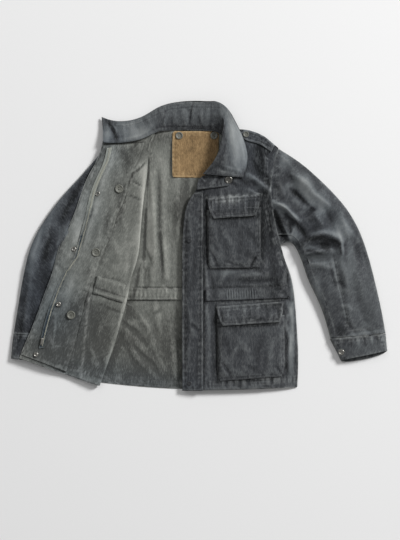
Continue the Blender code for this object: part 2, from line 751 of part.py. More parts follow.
def main():
    clear_scene()
    looks = {
        "outside": material("Charcoal cotton, outside", CHARCOAL, 0.9),
        "inside": material("Grey cotton, inside", INSIDE_GREY, 0.92),
        "label": material("Tan label cloth", TAN, 0.75),
        "horn": material("Dark button", DARK_HORN, 0.45),
        "cap": material("Dark stud cap", CHARCOAL, 0.5, 0.6),
        "steel": material("Nickel stud", STEEL, 0.3, 1.0),
    }
    pile = Pile()
    build_back(pile, looks)
    gathered(pile, "back_waist_channel", BACK_CHANNEL_ROWS, BACK_GATHERS, looks["inside"], BACK_GATHERED)
    label_rows = [(LABEL_LEFT, y, LABEL_RIGHT, y) for y in (LABEL_TOP, LABEL_FOOT)]
    label = across(label_rows, even(8), even(9))
    pile.add(wall("label_patch", laid(pile, label, "label_patch"), looks["label"], PATCH))
    cloth = looks["outside"]
    left_rows = (LEFT_SLEEVE_ROWS, LEFT_CUFF_ROWS, LEFT_SLEEVE_FOLDS)
    right_rows = (RIGHT_SLEEVE_ROWS, RIGHT_CUFF_ROWS, ())
    build_sleeve(pile, cloth, "left", *left_rows, LEFT_SLEEVE_SEAM, CUFF_SLIP)
    build_sleeve(pile, cloth, "right", *right_rows, RIGHT_SLEEVE_SEAM, 0)
    build_right_front(pile, looks)
    build_left_front(pile, looks)
    facing = across(FACING_ROWS, even(19), edge_dense(8, 0.04))
    pile.add(wall("right_facing", laid(pile, facing, "right_facing"), looks["inside"]))
    channel = across(RIGHT_CHANNEL_ROWS, even(4), even(9))
    channel = laid(pile, channel, "right_waist_channel", CHANNEL_LIFT)
    pile.add(wall("right_waist_channel", channel, looks["inside"]))
    tape = across(ZIP_ROWS, even(24), even(3))
    pile.add(wall("right_zip_tape", laid(pile, tape, "right_zip_tape"), looks["inside"], PATCH))
    pin = across(ZIP_PIN_ROWS, even(3), even(3))
    pile.add(wall("zip_pin", laid(pile, pin, "zip_pin"), looks["steel"], PATCH))
    placket = across(PLACKET_ROWS, even(20), even(5))
    pile.add(wall("left_placket", laid(pile, placket, "left_placket"), looks["outside"], DOUBLE_CLOTH))
    gathered(pile, "left_waist_channel", LEFT_CHANNEL_ROWS, LEFT_GATHERS, looks["outside"], LEFT_GATHERED)
    build_pocket(pile, looks, "chest_pocket", CHEST_BAG_ROWS, CHEST_FLAP_ROWS)
    build_pocket(pile, looks, "lower_pocket", LOWER_BAG_ROWS, LOWER_FLAP_ROWS)
    tab = across(THROAT_TAB_ROWS, even(5), even(9))
    pile.add(wall("throat_tab", laid(pile, tab, "throat_tab"), looks["outside"], DOUBLE_CLOTH))
    strap = across(EPAULETTE_ROWS, even(9), even(4)).transpose(1, 0, 2)
    pile.add(wall("left_epaulette", laid(pile, strap, "left_epaulette"), looks["outside"], DOUBLE_CLOTH))
    build_collar(pile, looks)
    build_round_pieces(pile, looks)
    centre_on_floor()


main()
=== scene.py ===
# %% [markdown]
# A washed cotton field jacket, laid flat on its back, dressed for the camera. The real jacket is
# garment-dyed cotton twill that was washed hard after sewing, so the dye is rubbed off every raised edge
# and stays dark beside the seams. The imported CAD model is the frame: it gives each cut piece its place, and
# this lesson gives each one its cloth.

# %% Load the frame
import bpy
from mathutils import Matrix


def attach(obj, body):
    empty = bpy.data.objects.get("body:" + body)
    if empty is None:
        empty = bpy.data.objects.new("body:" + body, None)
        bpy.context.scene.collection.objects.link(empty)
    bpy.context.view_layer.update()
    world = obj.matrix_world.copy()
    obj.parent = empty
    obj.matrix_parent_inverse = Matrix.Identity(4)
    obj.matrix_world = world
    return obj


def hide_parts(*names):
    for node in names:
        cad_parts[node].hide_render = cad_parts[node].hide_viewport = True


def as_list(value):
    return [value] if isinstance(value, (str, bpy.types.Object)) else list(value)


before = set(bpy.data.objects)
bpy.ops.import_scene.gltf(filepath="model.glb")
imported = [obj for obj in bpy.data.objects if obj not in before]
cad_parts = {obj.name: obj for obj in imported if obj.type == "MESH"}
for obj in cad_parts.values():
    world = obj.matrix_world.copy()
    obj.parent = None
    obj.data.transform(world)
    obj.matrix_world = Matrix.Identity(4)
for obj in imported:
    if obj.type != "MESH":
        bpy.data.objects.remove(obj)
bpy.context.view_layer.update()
print("nodes in the frame:", len(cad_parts))

# %% [markdown]
# The numbers in this lesson are millimetres, because a cutter and a sewer think in them. Blender works in
# metres, so one constant turns one into the other.

# %% Modules and units
import math

import bmesh
import bpy
import numpy as np
from mathutils import Matrix, Vector
from mathutils.bvhtree import BVHTree

MM = 0.001
UP = Vector((0, 0, 1))
SKY = 500.0
scene = bpy.context.scene
print("units: 1 mm is", MM, "m")

# %% [markdown]
# The photo looks straight down at the jacket through a long lens, so nothing in it leans. A long lens from
# high above gives the same view. Its height follows from the frame that has to fit: 1458 mm of floor over
# the photo's long side.

# %% The camera
LENS = 85.0
SENSOR = 36.0
FRAME_LENGTH = 1458.0
VIEW_CENTRE = (2.7, -64.8)


def placed(name, data):
    """A new object in the scene."""
    item = bpy.data.objects.new(name, data)
    scene.collection.objects.link(item)
    return item


def make_camera():
    """The camera, straight above, and its height in mm."""
    data = bpy.data.cameras.new("Camera")
    data.lens = LENS
    data.sensor_width = SENSOR
    camera = placed("Camera", data)
    height = FRAME_LENGTH * LENS / SENSOR
    camera.location = (VIEW_CENTRE[0] * MM, VIEW_CENTRE[1] * MM, height * MM)
    scene.camera = camera
    return height


print("camera height:", round(make_camera()), "mm")

# %% [markdown]
# A jacket shot for a catalogue lies on a pale sweep under large soft lamps. One big lamp beyond the left
# shoulder gives the folds their shape, a second one from the side fills in, and a pale sky keeps the deep
# places from going black.

# %% Lamps, sky and floor
LAMPS = [
    # name, x, y, z, size, watts
    ("Key lamp", 7360, 5280, 5920, 2720, 1331),
    ("Side lamp", -3000, 3800, 5200, 3600, 60),
]
SKY_STRENGTH = 0.30
FLOOR_SIZE = 9000.0
AIM = Vector((0, 0, 0))


def make_lamp(name, x, y, z, size, watts):
    """A square soft lamp that points at the jacket."""
    data = bpy.data.lights.new(name, "AREA")
    data.size = size * MM
    data.energy = watts
    lamp = placed(name, data)
    lamp.location = Vector((x, y, z)) * MM
    lamp.rotation_mode = "QUATERNION"
    lamp.rotation_quaternion = (AIM - lamp.location).to_track_quat("-Z", "Y")


for lamp_row in LAMPS:
    make_lamp(*lamp_row)
world = bpy.data.worlds.new("Studio")
world.use_nodes = True
world.node_tree.nodes["Background"].inputs["Color"].default_value = (1, 1, 1, 1)
world.node_tree.nodes["Background"].inputs["Strength"].default_value = SKY_STRENGTH
scene.world = world
scene.view_settings.view_transform = "Standard"
print("lamps:", len(LAMPS))

# %% [markdown]
# Colours are written the way a dyer's card gives them, as sRGB hex. Blender's shaders want linear light, so
# one function makes the change. A second small function adds one shader node with its settings and its
# links: an input that is given a socket is linked, any other input is set, and the output that is asked for
# comes back.

# %% Colour and node helpers
# The sRGB curve: a straight toe up to the knee, then a power
KNEE, TOE_SLOPE, SHIFT, POWER = 0.04045, 12.92, 0.055, 2.4
# The settings and the output of a Mix node for colours, and its inputs
FOR_COLOURS = {"output": 2, "data_type": "RGBA"}
FACTOR, FIRST, SECOND = 0, 6, 7


def linear(code):
    """A Blender colour from an sRGB hex value."""
    parts = [int(code[k : k + 2], 16) / 255 for k in (1, 3, 5)]
    toe = [part / TOE_SLOPE for part in parts]
    rest = [((part + SHIFT) / (1 + SHIFT)) ** POWER for part in parts]
    return (*[low if part <= KNEE else high for part, low, high in zip(parts, toe, rest)], 1.0)


def plug(tree, node, inputs):
    """Links the inputs that are given a socket, and sets the others."""
    for key, value in inputs.items():
        if isinstance(value, bpy.types.NodeSocket):
            tree.links.new(value, node.inputs[key])
        else:
            node.inputs[key].default_value = value


def add(tree, kind, inputs, output=0, **settings):
    """One shader node with its settings and inputs, and one of its outputs."""
    node = tree.nodes.new("ShaderNode" + kind)
    for key, value in settings.items():
        setattr(node, key, value)
    plug(tree, node, inputs)
    return node.outputs[output]


def new_look(name):
    """A new material and its shader, ready for settings."""
    look = bpy.data.materials.new(name)
    look.use_nodes = True
    return look, look.node_tree, look.node_tree.nodes["Principled BSDF"]


print("charcoal in linear light:", [round(part, 3) for part in linear("#46484c")])

# %% [markdown]
# The shell is cotton twill: a diagonal rib from the weave, dyed charcoal after sewing and then washed,
# which leaves clouds of lighter and darker dye, pale streaks along the warp where single thick threads
# stand up, and rubbed edges. Five values ride on each piece's own points and steer it: grain, which runs
# along that piece's warp, wear, relief, which also darkens hollows as painted shade, tone, which carries
# the dye's unevenness together with painted shade and painted highlights, and cool, for places where the
# dye has faded bluer. The rib is 0.9 mm wide on real cloth, and is drawn at 1.7 mm so that it shows at all
# from this far.

# %% Sizes of weave and dye
TWILL_PITCH = 1.7
WAVE_RADIANS = 20.0
SLUB_LENGTH = 0.22
DYES = {
    # what lies in the dye: size in mm, detail, how much it counts for
    "clouds": (34.0, 5.0, 0.6),
    "blotches": (9.0, 3.0, 0.5),
    "slubs": (2.2, 3.0, 0.9),
    "specks": (1.3, 1.0, 0.7),
}
PATCH_ROUGHNESS = 0.6
# How much the relief counts in the level: ridges come out paler as wear, hollows darker as painted shade
RELIEF_WEAR_AND_SHADE = 0.18
BROKEN_WEAR = (-0.35, 0.7)
MOST_RUBBED = 0.85
WEAVE_DEPTHS = (0.45, 0.9, 0.4)
UNWORN_ROUGHNESS, WORN_ROUGHNESS = 0.93, 0.84
COTTON = {"IOR": 1.5, "Specular IOR Level": 0.25, "Sheen Weight": 0.08, "Sheen Roughness": 0.5}
COOL_TINT = "#e6f0ff"


def noise_scale(size):
    """The noise scale whose patches are about that many millimetres wide."""
    return 1 / (size * MM)


def wave_scale(pitch):
    """The wave scale whose bands are that many millimetres apart."""
    return 2 * math.pi / (WAVE_RADIANS * pitch * MM)


def summed(tree, start, parts):
    """A start value plus each source times its weight."""
    total = start
    for source, weight in parts:
        total = add(tree, "Math", {0: source, 1: weight, 2: total}, operation="MULTIPLY_ADD")
    return total


def dye_patches(tree, grain):
    """Clouds, blotches, slubs and specks, laid out along the grain."""
    stretched = add(tree, "VectorMath", {0: grain, 1: (1, SLUB_LENGTH, 1)}, operation="MULTIPLY")
    dyes = {}
    for key, (size, detail, _) in DYES.items():
        inputs = {"Vector": stretched if key == "slubs" else grain, "Scale": noise_scale(size)}
        dyes[key] = add(tree, "TexNoise", {**inputs, "Detail": detail, "Roughness": PATCH_ROUGHNESS})
    return dyes


print("patches of dye:", {key: row[0] for key, row in DYES.items()})

# %% [markdown]
# One look serves all cotton in the jacket. A level from the dye's patches, the relief and the tone, with
# the painted shade and painted highlights that these two carry, picks a colour between deep, middle and
# pale, wear lays the rubbed colour over it where thick threads stand up first, and the ribs and slubs give
# the bump.

# %% Washed cotton twill
def washed_cotton(name, deep, middle, pale, rubbed, contrast=1.0, pitch=TWILL_PITCH):
    """Twill with clouded dye, warp slubs, rubbed high places and dark seams."""
    look, tree, shader = new_look(name)
    grain = add(tree, "Attribute", {}, "Vector", attribute_name="grain")
    steers = ("wear", "relief", "tone_and_painted_shade", "cool")
    wear, relief, tone_and_painted_shade, cool = [add(tree, "Attribute", {}, "Fac", attribute_name=key) for key in steers]
    dyes = dye_patches(tree, grain)
    weights = [weight for _, _, weight in DYES.values()]
    parts = [(source, weight * contrast) for source, weight in zip(dyes.values(), weights)]
    middling = 0.5 - contrast * 0.5 * sum(weights)
    # The level holds painted shade and painted highlights: the relief darkens hollows, and the tone brings
    # its painted lines and spots
    level = summed(tree, middling, [*parts, (relief, RELIEF_WEAR_AND_SHADE), (tone_and_painted_shade, 1.0)])
    colour = linear(deep)
    for low, high, code in ((0.0, 0.5, middle), (0.5, 1.0, pale), (1.0, 2.2, rubbed)):
        part = add(tree, "MapRange", {"Value": level, "From Min": low, "From Max": high})
        colour = add(tree, "Mix", {FACTOR: part, FIRST: colour, SECOND: linear(code)}, **FOR_COLOURS)
    broken = summed(tree, BROKEN_WEAR[0], [(dyes["slubs"], BROKEN_WEAR[1]), (wear, 1.0)])
    bared = add(tree, "MapRange", {"Value": broken, "To Max": MOST_RUBBED})
    colour = add(tree, "Mix", {FACTOR: bared, FIRST: colour, SECOND: linear(rubbed)}, **FOR_COLOURS)
    tinted = {FACTOR: cool, FIRST: colour, SECOND: linear(COOL_TINT)}
    colour = add(tree, "Mix", tinted, blend_type="MULTIPLY", **FOR_COLOURS)
    twill = {"Vector": grain, "Scale": wave_scale(pitch * math.sqrt(3)), "Distortion": 1.2, "Detail": 1.0}
    ribs = add(tree, "TexWave", twill, "Fac", bands_direction="DIAGONAL")
    height = summed(tree, 0.0, zip((ribs, dyes["slubs"], dyes["specks"]), WEAVE_DEPTHS))
    bump = add(tree, "Bump", {"Strength": 0.55, "Distance": 0.35 * MM, "Height": height})
    rough = add(tree, "MapRange", {"Value": wear, "To Min": UNWORN_ROUGHNESS, "To Max": WORN_ROUGHNESS})
    plug(tree, shader, {"Base Color": colour, "Normal": bump, "Roughness": rough, **COTTON})
    return look


SHELL = washed_cotton("Washed cotton twill, right side", "#16181a", "#36383b", "#5a5e60", "#8b8e8d", 0.6)
REVERSE = washed_cotton("Washed cotton twill, wrong side", "#444542", "#6d6f6a", "#90918b", "#b5b5ae", 0.7)
print("cloth looks:", SHELL.name, "/", REVERSE.name)

# %% [markdown]
# The label is a thick woven patch in tan cotton, with a flatter, finer weave than twill and rubbed corners.
# The zip's tape is a narrow herringbone band of polyester, smoother than cotton and a little blue. Sewing
# thread is spun polyester, dyed to match and then washed with the jacket.

# %% Label cloth, zip tape and thread
LABEL_CLOTH = washed_cotton("Woven cotton label patch", "#3e3122", "#826a4a", "#a08560", "#bfa57c", 1.1, 1.1)
ZIP_TAPE = washed_cotton("Woven polyester zip tape", "#202c35", "#5e615f", "#85877e", "#aaa99c", 0.6, 1.2)
TWIST_SIZE = 1.2


def spun_thread(name, colour, lit):
    """Twisted thread: light and dark turns along each stitch."""
    look, tree, shader = new_look(name)
    place = add(tree, "TexCoord", {}, "Object")
    twist = {"Vector": place, "Scale": noise_scale(TWIST_SIZE), "Detail": 1.0, "Roughness": PATCH_ROUGHNESS}
    turns = add(tree, "TexNoise", twist)
    colour = add(tree, "Mix", {FACTOR: turns, FIRST: linear(colour), SECOND: linear(lit)}, **FOR_COLOURS)
    bump = add(tree, "Bump", {"Strength": 0.5, "Distance": 0.1 * MM, "Height": turns})
    span = {"From Min": 0.2, "From Max": 0.8, "To Min": 0.6, "To Max": 0.75}
    rough = add(tree, "MapRange", {"Value": turns, **span})
    plug(tree, shader, {"Base Color": colour, "Normal": bump, "Roughness": rough})
    return look


SHELL_THREAD = spun_thread("Spun polyester thread, charcoal", "#2f3134", "#6a6c6f")
REVERSE_THREAD = spun_thread("Spun polyester thread, grey", "#585a57", "#8a8b86")
LABEL_THREAD = spun_thread("Spun polyester thread, tan", "#6f5738", "#b39567")
print("threads:", SHELL_THREAD.name, "/", REVERSE_THREAD.name, "/", LABEL_THREAD.name)

# %% [markdown]
# The buttons are moulded from urea resin: matt, dense, with faint swirls where the powder flowed in the
# mould. The zip's teeth are moulded too, of acetal, which is close to the same to the eye.

# %% Moulded resin
SWIRL_SIZE = 5
GRIT_SIZE = 0.7


def moulded_resin(name, dark, light):
    """Faint swirls in the colour, and a fine grit in the gloss."""
    look, tree, shader = new_look(name)
    place = add(tree, "TexCoord", {}, "Object")
    flow = {"Vector": place, "Scale": noise_scale(SWIRL_SIZE), "Detail": 4.0, "Distortion": 1.5}
    swirls = add(tree, "TexNoise", flow)
    fine = {"Vector": place, "Scale": noise_scale(GRIT_SIZE), "Detail": 1.0, "Roughness": PATCH_ROUGHNESS}
    grit = add(tree, "TexNoise", fine)
    mixed = summed(tree, 0.0, [(swirls, 0.8), (grit, 0.2)])
    part = add(tree, "MapRange", {"Value": mixed, "From Min": 0.3, "From Max": 0.7})
    colour = add(tree, "Mix", {FACTOR: part, FIRST: linear(dark), SECOND: linear(light)}, **FOR_COLOURS)
    span = {"From Min": 0.2, "From Max": 0.8, "To Min": 0.42, "To Max": 0.6}
    rough = add(tree, "MapRange", {"Value": grit, **span})
    bump = add(tree, "Bump", {"Strength": 0.3, "Distance": 0.08 * MM, "Height": grit})
    plug(tree, shader, {"Base Color": colour, "Roughness": rough, "Normal": bump})
    return look


RESIN = moulded_resin("Moulded urea resin, dark grey", "#44453f", "#7a7b73")
TEETH = moulded_resin("Moulded acetal zip teeth, cream", "#8b8a7e", "#c3c1b0")
print("moulded looks:", RESIN.name, "/", TEETH.name)

# %% [markdown]
# The snaps are stamped brass with nickel plate, tumbled by the wash until the plate is scratched, and the
# caps on the placket are the same brass under dark baked paint that has worn through on the rims.

# %% Nickel and painted brass
TUMBLED_SIZE = 2.2
SCRATCH_SIZE = 0.5


def plated_metal(name, plate, dull, paint=None):
    """Nickel plate with tumbled scratches, under worn paint where a paint is given."""
    look, tree, shader = new_look(name)
    place = add(tree, "TexCoord", {}, "Object")
    wide = {"Vector": place, "Scale": noise_scale(TUMBLED_SIZE), "Detail": 5.0, "Roughness": PATCH_ROUGHNESS}
    tumbled = add(tree, "TexNoise", wide)
    fine = {"Vector": place, "Scale": noise_scale(SCRATCH_SIZE), "Detail": 1.0, "Roughness": PATCH_ROUGHNESS}
    scratches = add(tree, "TexNoise", fine)
    part = add(tree, "MapRange", {"Value": tumbled, "From Min": 0.35, "From Max": 0.65})
    colour = add(tree, "Mix", {FACTOR: part, FIRST: linear(plate), SECOND: linear(dull)}, **FOR_COLOURS)
    bare = 1.0
    if paint:
        bare = add(tree, "MapRange", {"Value": tumbled, "From Min": 0.60, "From Max": 0.66})
        colour = add(tree, "Mix", {FACTOR: bare, FIRST: linear(paint), SECOND: colour}, **FOR_COLOURS)
    span = {"From Min": 0.3, "From Max": 0.7, "To Min": 0.25, "To Max": 0.45}
    rough = add(tree, "MapRange", {"Value": tumbled, **span})
    bump = add(tree, "Bump", {"Strength": 0.25, "Distance": 0.05 * MM, "Height": scratches})
    plug(tree, shader, {"Base Color": colour, "Metallic": bare, "Roughness": rough, "Normal": bump})
    return look


NICKEL = plated_metal("Nickel-plated brass, tumbled", "#b3b1ac", "#878680")
# Darker nickel for the top snap: painted shade under the collar's leaf
SHADED_NICKEL = plated_metal("Nickel-plated brass, painted shade under the collar", "#8b8984", "#63625e")
PAINTED_CAP = plated_metal("Painted brass cap, worn", "#8d8c86", "#6f6e69", "#2c2e31")
print("metal looks:", NICKEL.name, "/", SHADED_NICKEL.name, "/", PAINTED_CAP.name)

# %% [markdown]
# Washed cloth is never smooth: it is crumpled at the size of a thumb and again at the size of a fingernail.
# A soft noise with a chosen bump size gives that. It is drawn from a seeded lattice, so the jacket is the
# same every run.

# %% Soft noise
NOISE_CELLS = 64
WRINKLE_STRETCH = (1, 0.5, 0.3)
CREST_POWER = 0.7


def soft_noise(points, size, seed):
    """Smooth noise from -1 to 1 at points in millimetres, with bumps about size wide."""
    lattice = np.random.default_rng(seed).uniform(-1, 1, (NOISE_CELLS,) * 3)
    spot = points / size
    base = np.floor(spot).astype(int)
    part = spot - base
    part = part * part * (3 - 2 * part)
    total = np.zeros(len(points))
    for corner in np.ndindex(2, 2, 2):
        weight = np.prod([part[:, k] if corner[k] else 1 - part[:, k] for k in range(3)], axis=0)
        i, j, k = ((base + corner) % NOISE_CELLS).T
        total += lattice[i, j, k] * weight
    return total


def wrinkles(points, size, seed):
    """Sharp-crested ripples from -1 to 1, twice as long down the warp as across it."""
    return 1 - 2 * np.abs(soft_noise(points * WRINKLE_STRETCH, size, seed)) ** CREST_POWER


print("soft noise at the middle:", soft_noise(np.zeros((1, 3)), 10, 1).round(3))

# %% [markdown]
# A real crease is a long soft ridge or trough that fades at both ends and is seldom straight. Each row of a
# crease table is one of them: where it starts and ends, how wide and how high it is, and how far its middle
# bows aside, where it does.

# %% Creases
REACH_IN_WIDTHS = 4
# The angle, in half turns, at which a crease's rise starts, and how far it runs on
END_PHASE, PHASE_RUN = 0.12, 0.76
FLANK_POWER = 1.6


def crease_lift(points, rows):
    """Lift in mm of creases given as x1, y1, x2, y2, width, rise and, where it bows, its bow."""
    lift = np.zeros(len(points))
    for x1, y1, x2, y2, width, rise, *bows in rows:
        bow = sum(bows)
        start = np.array([x1, y1], float)
        run = np.array([x2, y2], float) - start
        length = np.hypot(*run)
        reach = length / 2 + REACH_IN_WIDTHS * width + abs(bow)
        near = np.flatnonzero(np.abs(points[:, :2] - start - run / 2).max(axis=1) < reach)
        away = points[near, :2] - start
        along = np.clip(away @ run / length**2, 0, 1)
        beyond = away @ run / length - along * length
        aside = away @ np.array([-run[1], run[0]]) / length - bow * 4 * along * (1 - along)
        apart = np.hypot(aside, beyond) / width
        lift[near] += rise * np.sin(math.pi * (END_PHASE + PHASE_RUN * along)) * np.exp(-(apart**FLANK_POWER))
    return lift


print("lift on a crease:", crease_lift(np.array([[5.0, 0, 0]]), [(0, 0, 10, 0, 4, 3)]).round(2))

# %% [markdown]
# A seam pulls its cloth. The stitches press a groove, and because thread shrinks more than cotton does in
# the wash, the cloth beside them gathers into small puckers, and their tops are where the dye rubs off
# first.

# %% How a seam pulls
def beside(points, path):
    """Distance from a path and the place along it, in mm, for points in mm."""
    nearest = np.full(len(points), 1e9)
    place = np.zeros(len(points))
    gone = 0.0
    for start, end in zip(path, path[1:]):
        start, run = np.array(start, float), np.array(end, float) - np.array(start, float)
        length = np.hypot(*run)
        along = np.clip((points[:, :2] - start) @ run / length**2, 0, 1)
        apart = np.hypot(*(points[:, :2] - start - along[:, None] * run).T)
        closer = apart < nearest
        nearest[closer] = apart[closer]
        place[closer] = gone + along[closer] * length
        gone += length
    return nearest, place


PUCKER_LENGTH = 4.95
PUCKER_REACH = 8.0
PUCKER_LEAN = 0.35
PUCKER_SEED = 7
GROOVE_WIDTH = 1.8
RUB_PLACE, RUB_WIDTH = 3, 2.6
LEAST_RUB = 0.35


def seam_lift(points, seams):
    """Lift in mm, and rub from 0 to 1, beside seams given as path, groove depth, pucker height."""
    lift = np.zeros(len(points))
    rub = np.zeros(len(points))
    for path, groove, pucker in seams:
        apart, place = beside(points, path)
        uneven = np.column_stack([place, np.full(len(place), path[0][0]), apart * PUCKER_LEAN])
        wave = soft_noise(uneven, PUCKER_LENGTH, PUCKER_SEED)
        reach = np.exp(-((apart / PUCKER_REACH) ** 2))
        lift += pucker * wave * reach - groove * np.exp(-((apart / GROOVE_WIDTH) ** 2))
        near = np.exp(-(((apart - RUB_PLACE) / RUB_WIDTH) ** 2))
        rub = np.maximum(rub, near * (LEAST_RUB + (1 - LEAST_RUB) * wave))
    return lift, np.clip(rub, 0, 1)


print("seam groove:", [part.round(2) for part in seam_lift(np.zeros((1, 3)), [([(0, 0), (9, 0)], 0.6, 0)])])

# %% [markdown]
# Each cloth piece starts as a fine copy of its CAD wall. Its triangles are joined back into quads, its
# sharp rims are creased so that subdivision keeps them, and the rest turns smooth. The wall's two sides are
# told apart, because the twill's right side is charcoal and its wrong side is grey. The rim of the shown
# side is kept in order, for its seams.

# %% The two sides and the rim
NEARLY_EQUAL = 0.93


def connected(faces, walls):
    """Groups of faces that touch without crossing a wall edge, the largest first."""
    left = set(faces)
    groups = []
    for first in faces:
        if first not in left:
            continue
        left.discard(first)
        group, front = [], [first]
        while front:
            face = front.pop()
            group.append(face)
            open_edges = [edge for edge in face.edges if edge not in walls]
            near = {other for edge in open_edges for other in edge.link_faces} & left
            left -= near
            front.extend(near)
        groups.append(group)
    return sorted(groups, key=lambda group: -sum(face.calc_area() for face in group))


def shown_and_reverse(groups):
    """The wall's two large sides: the upper one first where they are alike in size, and else the larger."""
    first, second = groups[:2]
    areas = [sum(face.calc_area() for face in group) for group in (first, second)]
    rises = [sum(face.normal.z * face.calc_area() for face in group) for group in (first, second)]
    if areas[1] > NEARLY_EQUAL * areas[0] and rises[1] > rises[0]:
        return second, first
    return first, second


def in_order(edges):
    """The longest closed path through these edges, as points in mm."""
    ways = {}
    for edge in edges:
        for vertex in edge.verts:
            ways.setdefault(vertex, []).append(edge)
    left = set(edges)
    paths = []
    while left:
        edge = min(left, key=lambda one: one.index)
        left.discard(edge)
        start, here = edge.verts
        path = [start, here]
        while here is not start:
            edge = next((one for one in ways[here] if one in left), None)
            if edge is None:
                break
            left.discard(edge)
            here = edge.other_vert(here)
            path.append(here)
        paths.append(path)
    longest = max(paths, key=len)
    return [tuple(vertex.co / MM) for vertex in longest[:-1]]


print("sides are alike from a share of", NEARLY_EQUAL)

# %% [markdown]
# The copy is made in an edit mesh first, where faces can be joined and edges creased, and then subdivided
# by a modifier whose result is kept as the piece's own mesh. The CAD node itself isn't touched.

# %% A fine copy of a CAD wall
WELD = 1e-6
RIM_ANGLE = math.radians(50)
SQUARE_ENOUGH = math.radians(100)


def mesh_of(bm, name):
    """Closes the mesh that is being made and keeps it."""
    mesh = bpy.data.meshes.new(name)
    bm.to_mesh(mesh)
    bm.free()
    return mesh


def with_modifiers(piece):
    """The piece's mesh as its modifiers leave it."""
    bpy.context.view_layer.update()
    return bpy.data.meshes.new_from_object(piece.evaluated_get(bpy.context.evaluated_depsgraph_get()))


def fine_copy(node, levels):
    """A new object on the node's form, subdivided, and its rim."""
    bm = bmesh.new()
    bm.from_mesh(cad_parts[node].data)
    bmesh.ops.remove_doubles(bm, verts=bm.verts, dist=WELD)
    bmesh.ops.join_triangles(
        bm, faces=bm.faces, angle_face_threshold=RIM_ANGLE, angle_shape_threshold=SQUARE_ENOUGH
    )
    crease = bm.edges.layers.float.new("crease_edge")
    bm.edges.index_update()
    rims = {edge for edge in bm.edges if edge.calc_face_angle() > RIM_ANGLE}
    for edge in rims:
        edge[crease] = 1.0
    shown, reverse = shown_and_reverse(connected(bm.faces, rims))
    for face in bm.faces:
        face.material_index = 0
    for face in reverse:
        face.material_index = 1
    inside = set(shown)
    edges = [edge for edge in bm.edges if edge in rims]
    rim = in_order([edge for edge in edges if sum(face in inside for face in edge.link_faces) == 1])
    name = f"{node}_cloth"
    piece = placed(name, mesh_of(bm, name))
    piece.modifiers.new("Subdivision", "SUBSURF").levels = levels
    fine = with_modifiers(piece)
    piece.modifiers.clear()
    piece.data = fine
    return piece, rim


print("rim angle:", round(math.degrees(RIM_ANGLE)), "degrees")

# %% [markdown]
# Wear follows the form. A point that stands proud of its neighbours is rubbed pale, and one that lies in a
# groove keeps its dye and is darkened further as painted shade, so the relief of each point against a
# smoothed copy of the piece drives the colour.

# %% Reading and writing a piece's points
RELIEF_SCALE = 0.55


def read_points(mesh):
    """Points in mm and their normals."""
    points = np.empty(len(mesh.vertices) * 3)
    mesh.vertices.foreach_get("co", points)
    normals = np.empty(len(mesh.vertices) * 3)
    mesh.vertices.foreach_get("normal", normals)
    return points.reshape(-1, 3) / MM, normals.reshape(-1, 3)


def write_points(mesh, points):
    """Moves the piece's points to these, in mm."""
    mesh.vertices.foreach_set("co", (points * MM).ravel())
    mesh.update()


def relief_of(mesh, rounds):
    """How far each point stands out of a smoothed copy of the piece, from -1 to 1."""
    points, normals = read_points(mesh)
    edges = np.empty(len(mesh.edges) * 2, int)
    mesh.edges.foreach_get("vertices", edges)
    one, other = edges.reshape(-1, 2).T
    count = np.bincount(edges, minlength=len(points))
    soft = points.copy()
    for _ in range(rounds):
        for k in range(3):
            near = np.bincount(one, soft[other, k], len(points))
            near += np.bincount(other, soft[one, k], len(points))
            soft[:, k] = near / count
    return np.tanh(np.einsum("ij,ij->i", points - soft, normals) / RELIEF_SCALE)


def carry(mesh, name, values):
    """Stores a value, or a place, on every point of the piece."""
    if values.ndim == 2:
        mesh.attributes.new(name, "FLOAT_VECTOR", "POINT").data.foreach_set("vector", values.ravel())
    else:
        mesh.attributes.new(name, "FLOAT", "POINT").data.foreach_set("value", values)


print("relief scale:", RELIEF_SCALE, "mm")

# %% [markdown]
# A hem or a flap is edged the same way all round: the cloth is folded under, so the edge is thicker, and a
# row or two of stitches hold the fold. Moving the rim inwards gives the path of those stitches.

# %% Paths beside a rim
LEAST_MITRE = 0.6


def inset(rim, distance):
    """The closed rim moved inwards in plan, and closed."""
    corners = np.array(rim, float)[:, :2]
    forward = np.roll(corners, -1, 0) - corners
    forward /= np.linalg.norm(forward, axis=1, keepdims=True)
    side = np.column_stack([-forward[:, 1], forward[:, 0]])
    x, y = corners.T
    way_round = np.sign(np.sum(x * np.roll(y, -1) - np.roll(x, -1) * y))
    mitre = side + np.roll(side, 1, 0)
    mitre /= np.maximum(np.einsum("ij,ij->i", mitre, side)[:, None], LEAST_MITRE)
    moved = corners + way_round * distance * mitre
    return [tuple(corner) for corner in moved] + [tuple(moved[0])]


print("a square's rim moved in:", inset([(0, 0), (9, 0), (9, 9), (0, 9)], 2)[:2])

# %% [markdown]
# Making one cloth piece takes five steps. Copy its wall finely, add the creases of the place where it lies,
# add its crumple, press its seams, and write down what the colour needs: grain, wear, relief, tone with its
# painted shade and painted highlights, and cool. The lift is straight up wherever the cloth faces up or
# down, so the wall keeps its thickness and the pile's layers move together.

# %% Crumple, and the top of a pile
SWELLS = [
    # soft bumps: size, height, seed
    (80, 2.0, 11),
    (7, 0.12, 14),
]
WRINKLES = [
    # sharp-crested ripples: size, height, seed
    (40, 0.5, 12),
    (16, 0.26, 13),
]
SWELL_STRETCH = (1, 1, 0.3)
LAYER_GAP = 0.3
made = {}
rims = {}


def crumple_lift(grain):
    """The small unevenness of washed cloth, in mm, in the piece's own grain."""
    lift = np.zeros(len(grain))
    for size, height, seed in SWELLS:
        lift += height * soft_noise(grain * SWELL_STRETCH, size, seed)
    for size, height, seed in WRINKLES:
        lift += height * wrinkles(grain, size, seed)
    return lift


def top_of(names):
    """Search trees of finished pieces, for finding the cloth's top from above."""
    trees = []
    for name in names:
        mesh = made[name].data
        points = [vertex.co.copy() for vertex in mesh.vertices]
        trees.append(BVHTree.FromPolygons(points, [tuple(face.vertices) for face in mesh.polygons]))
    return trees


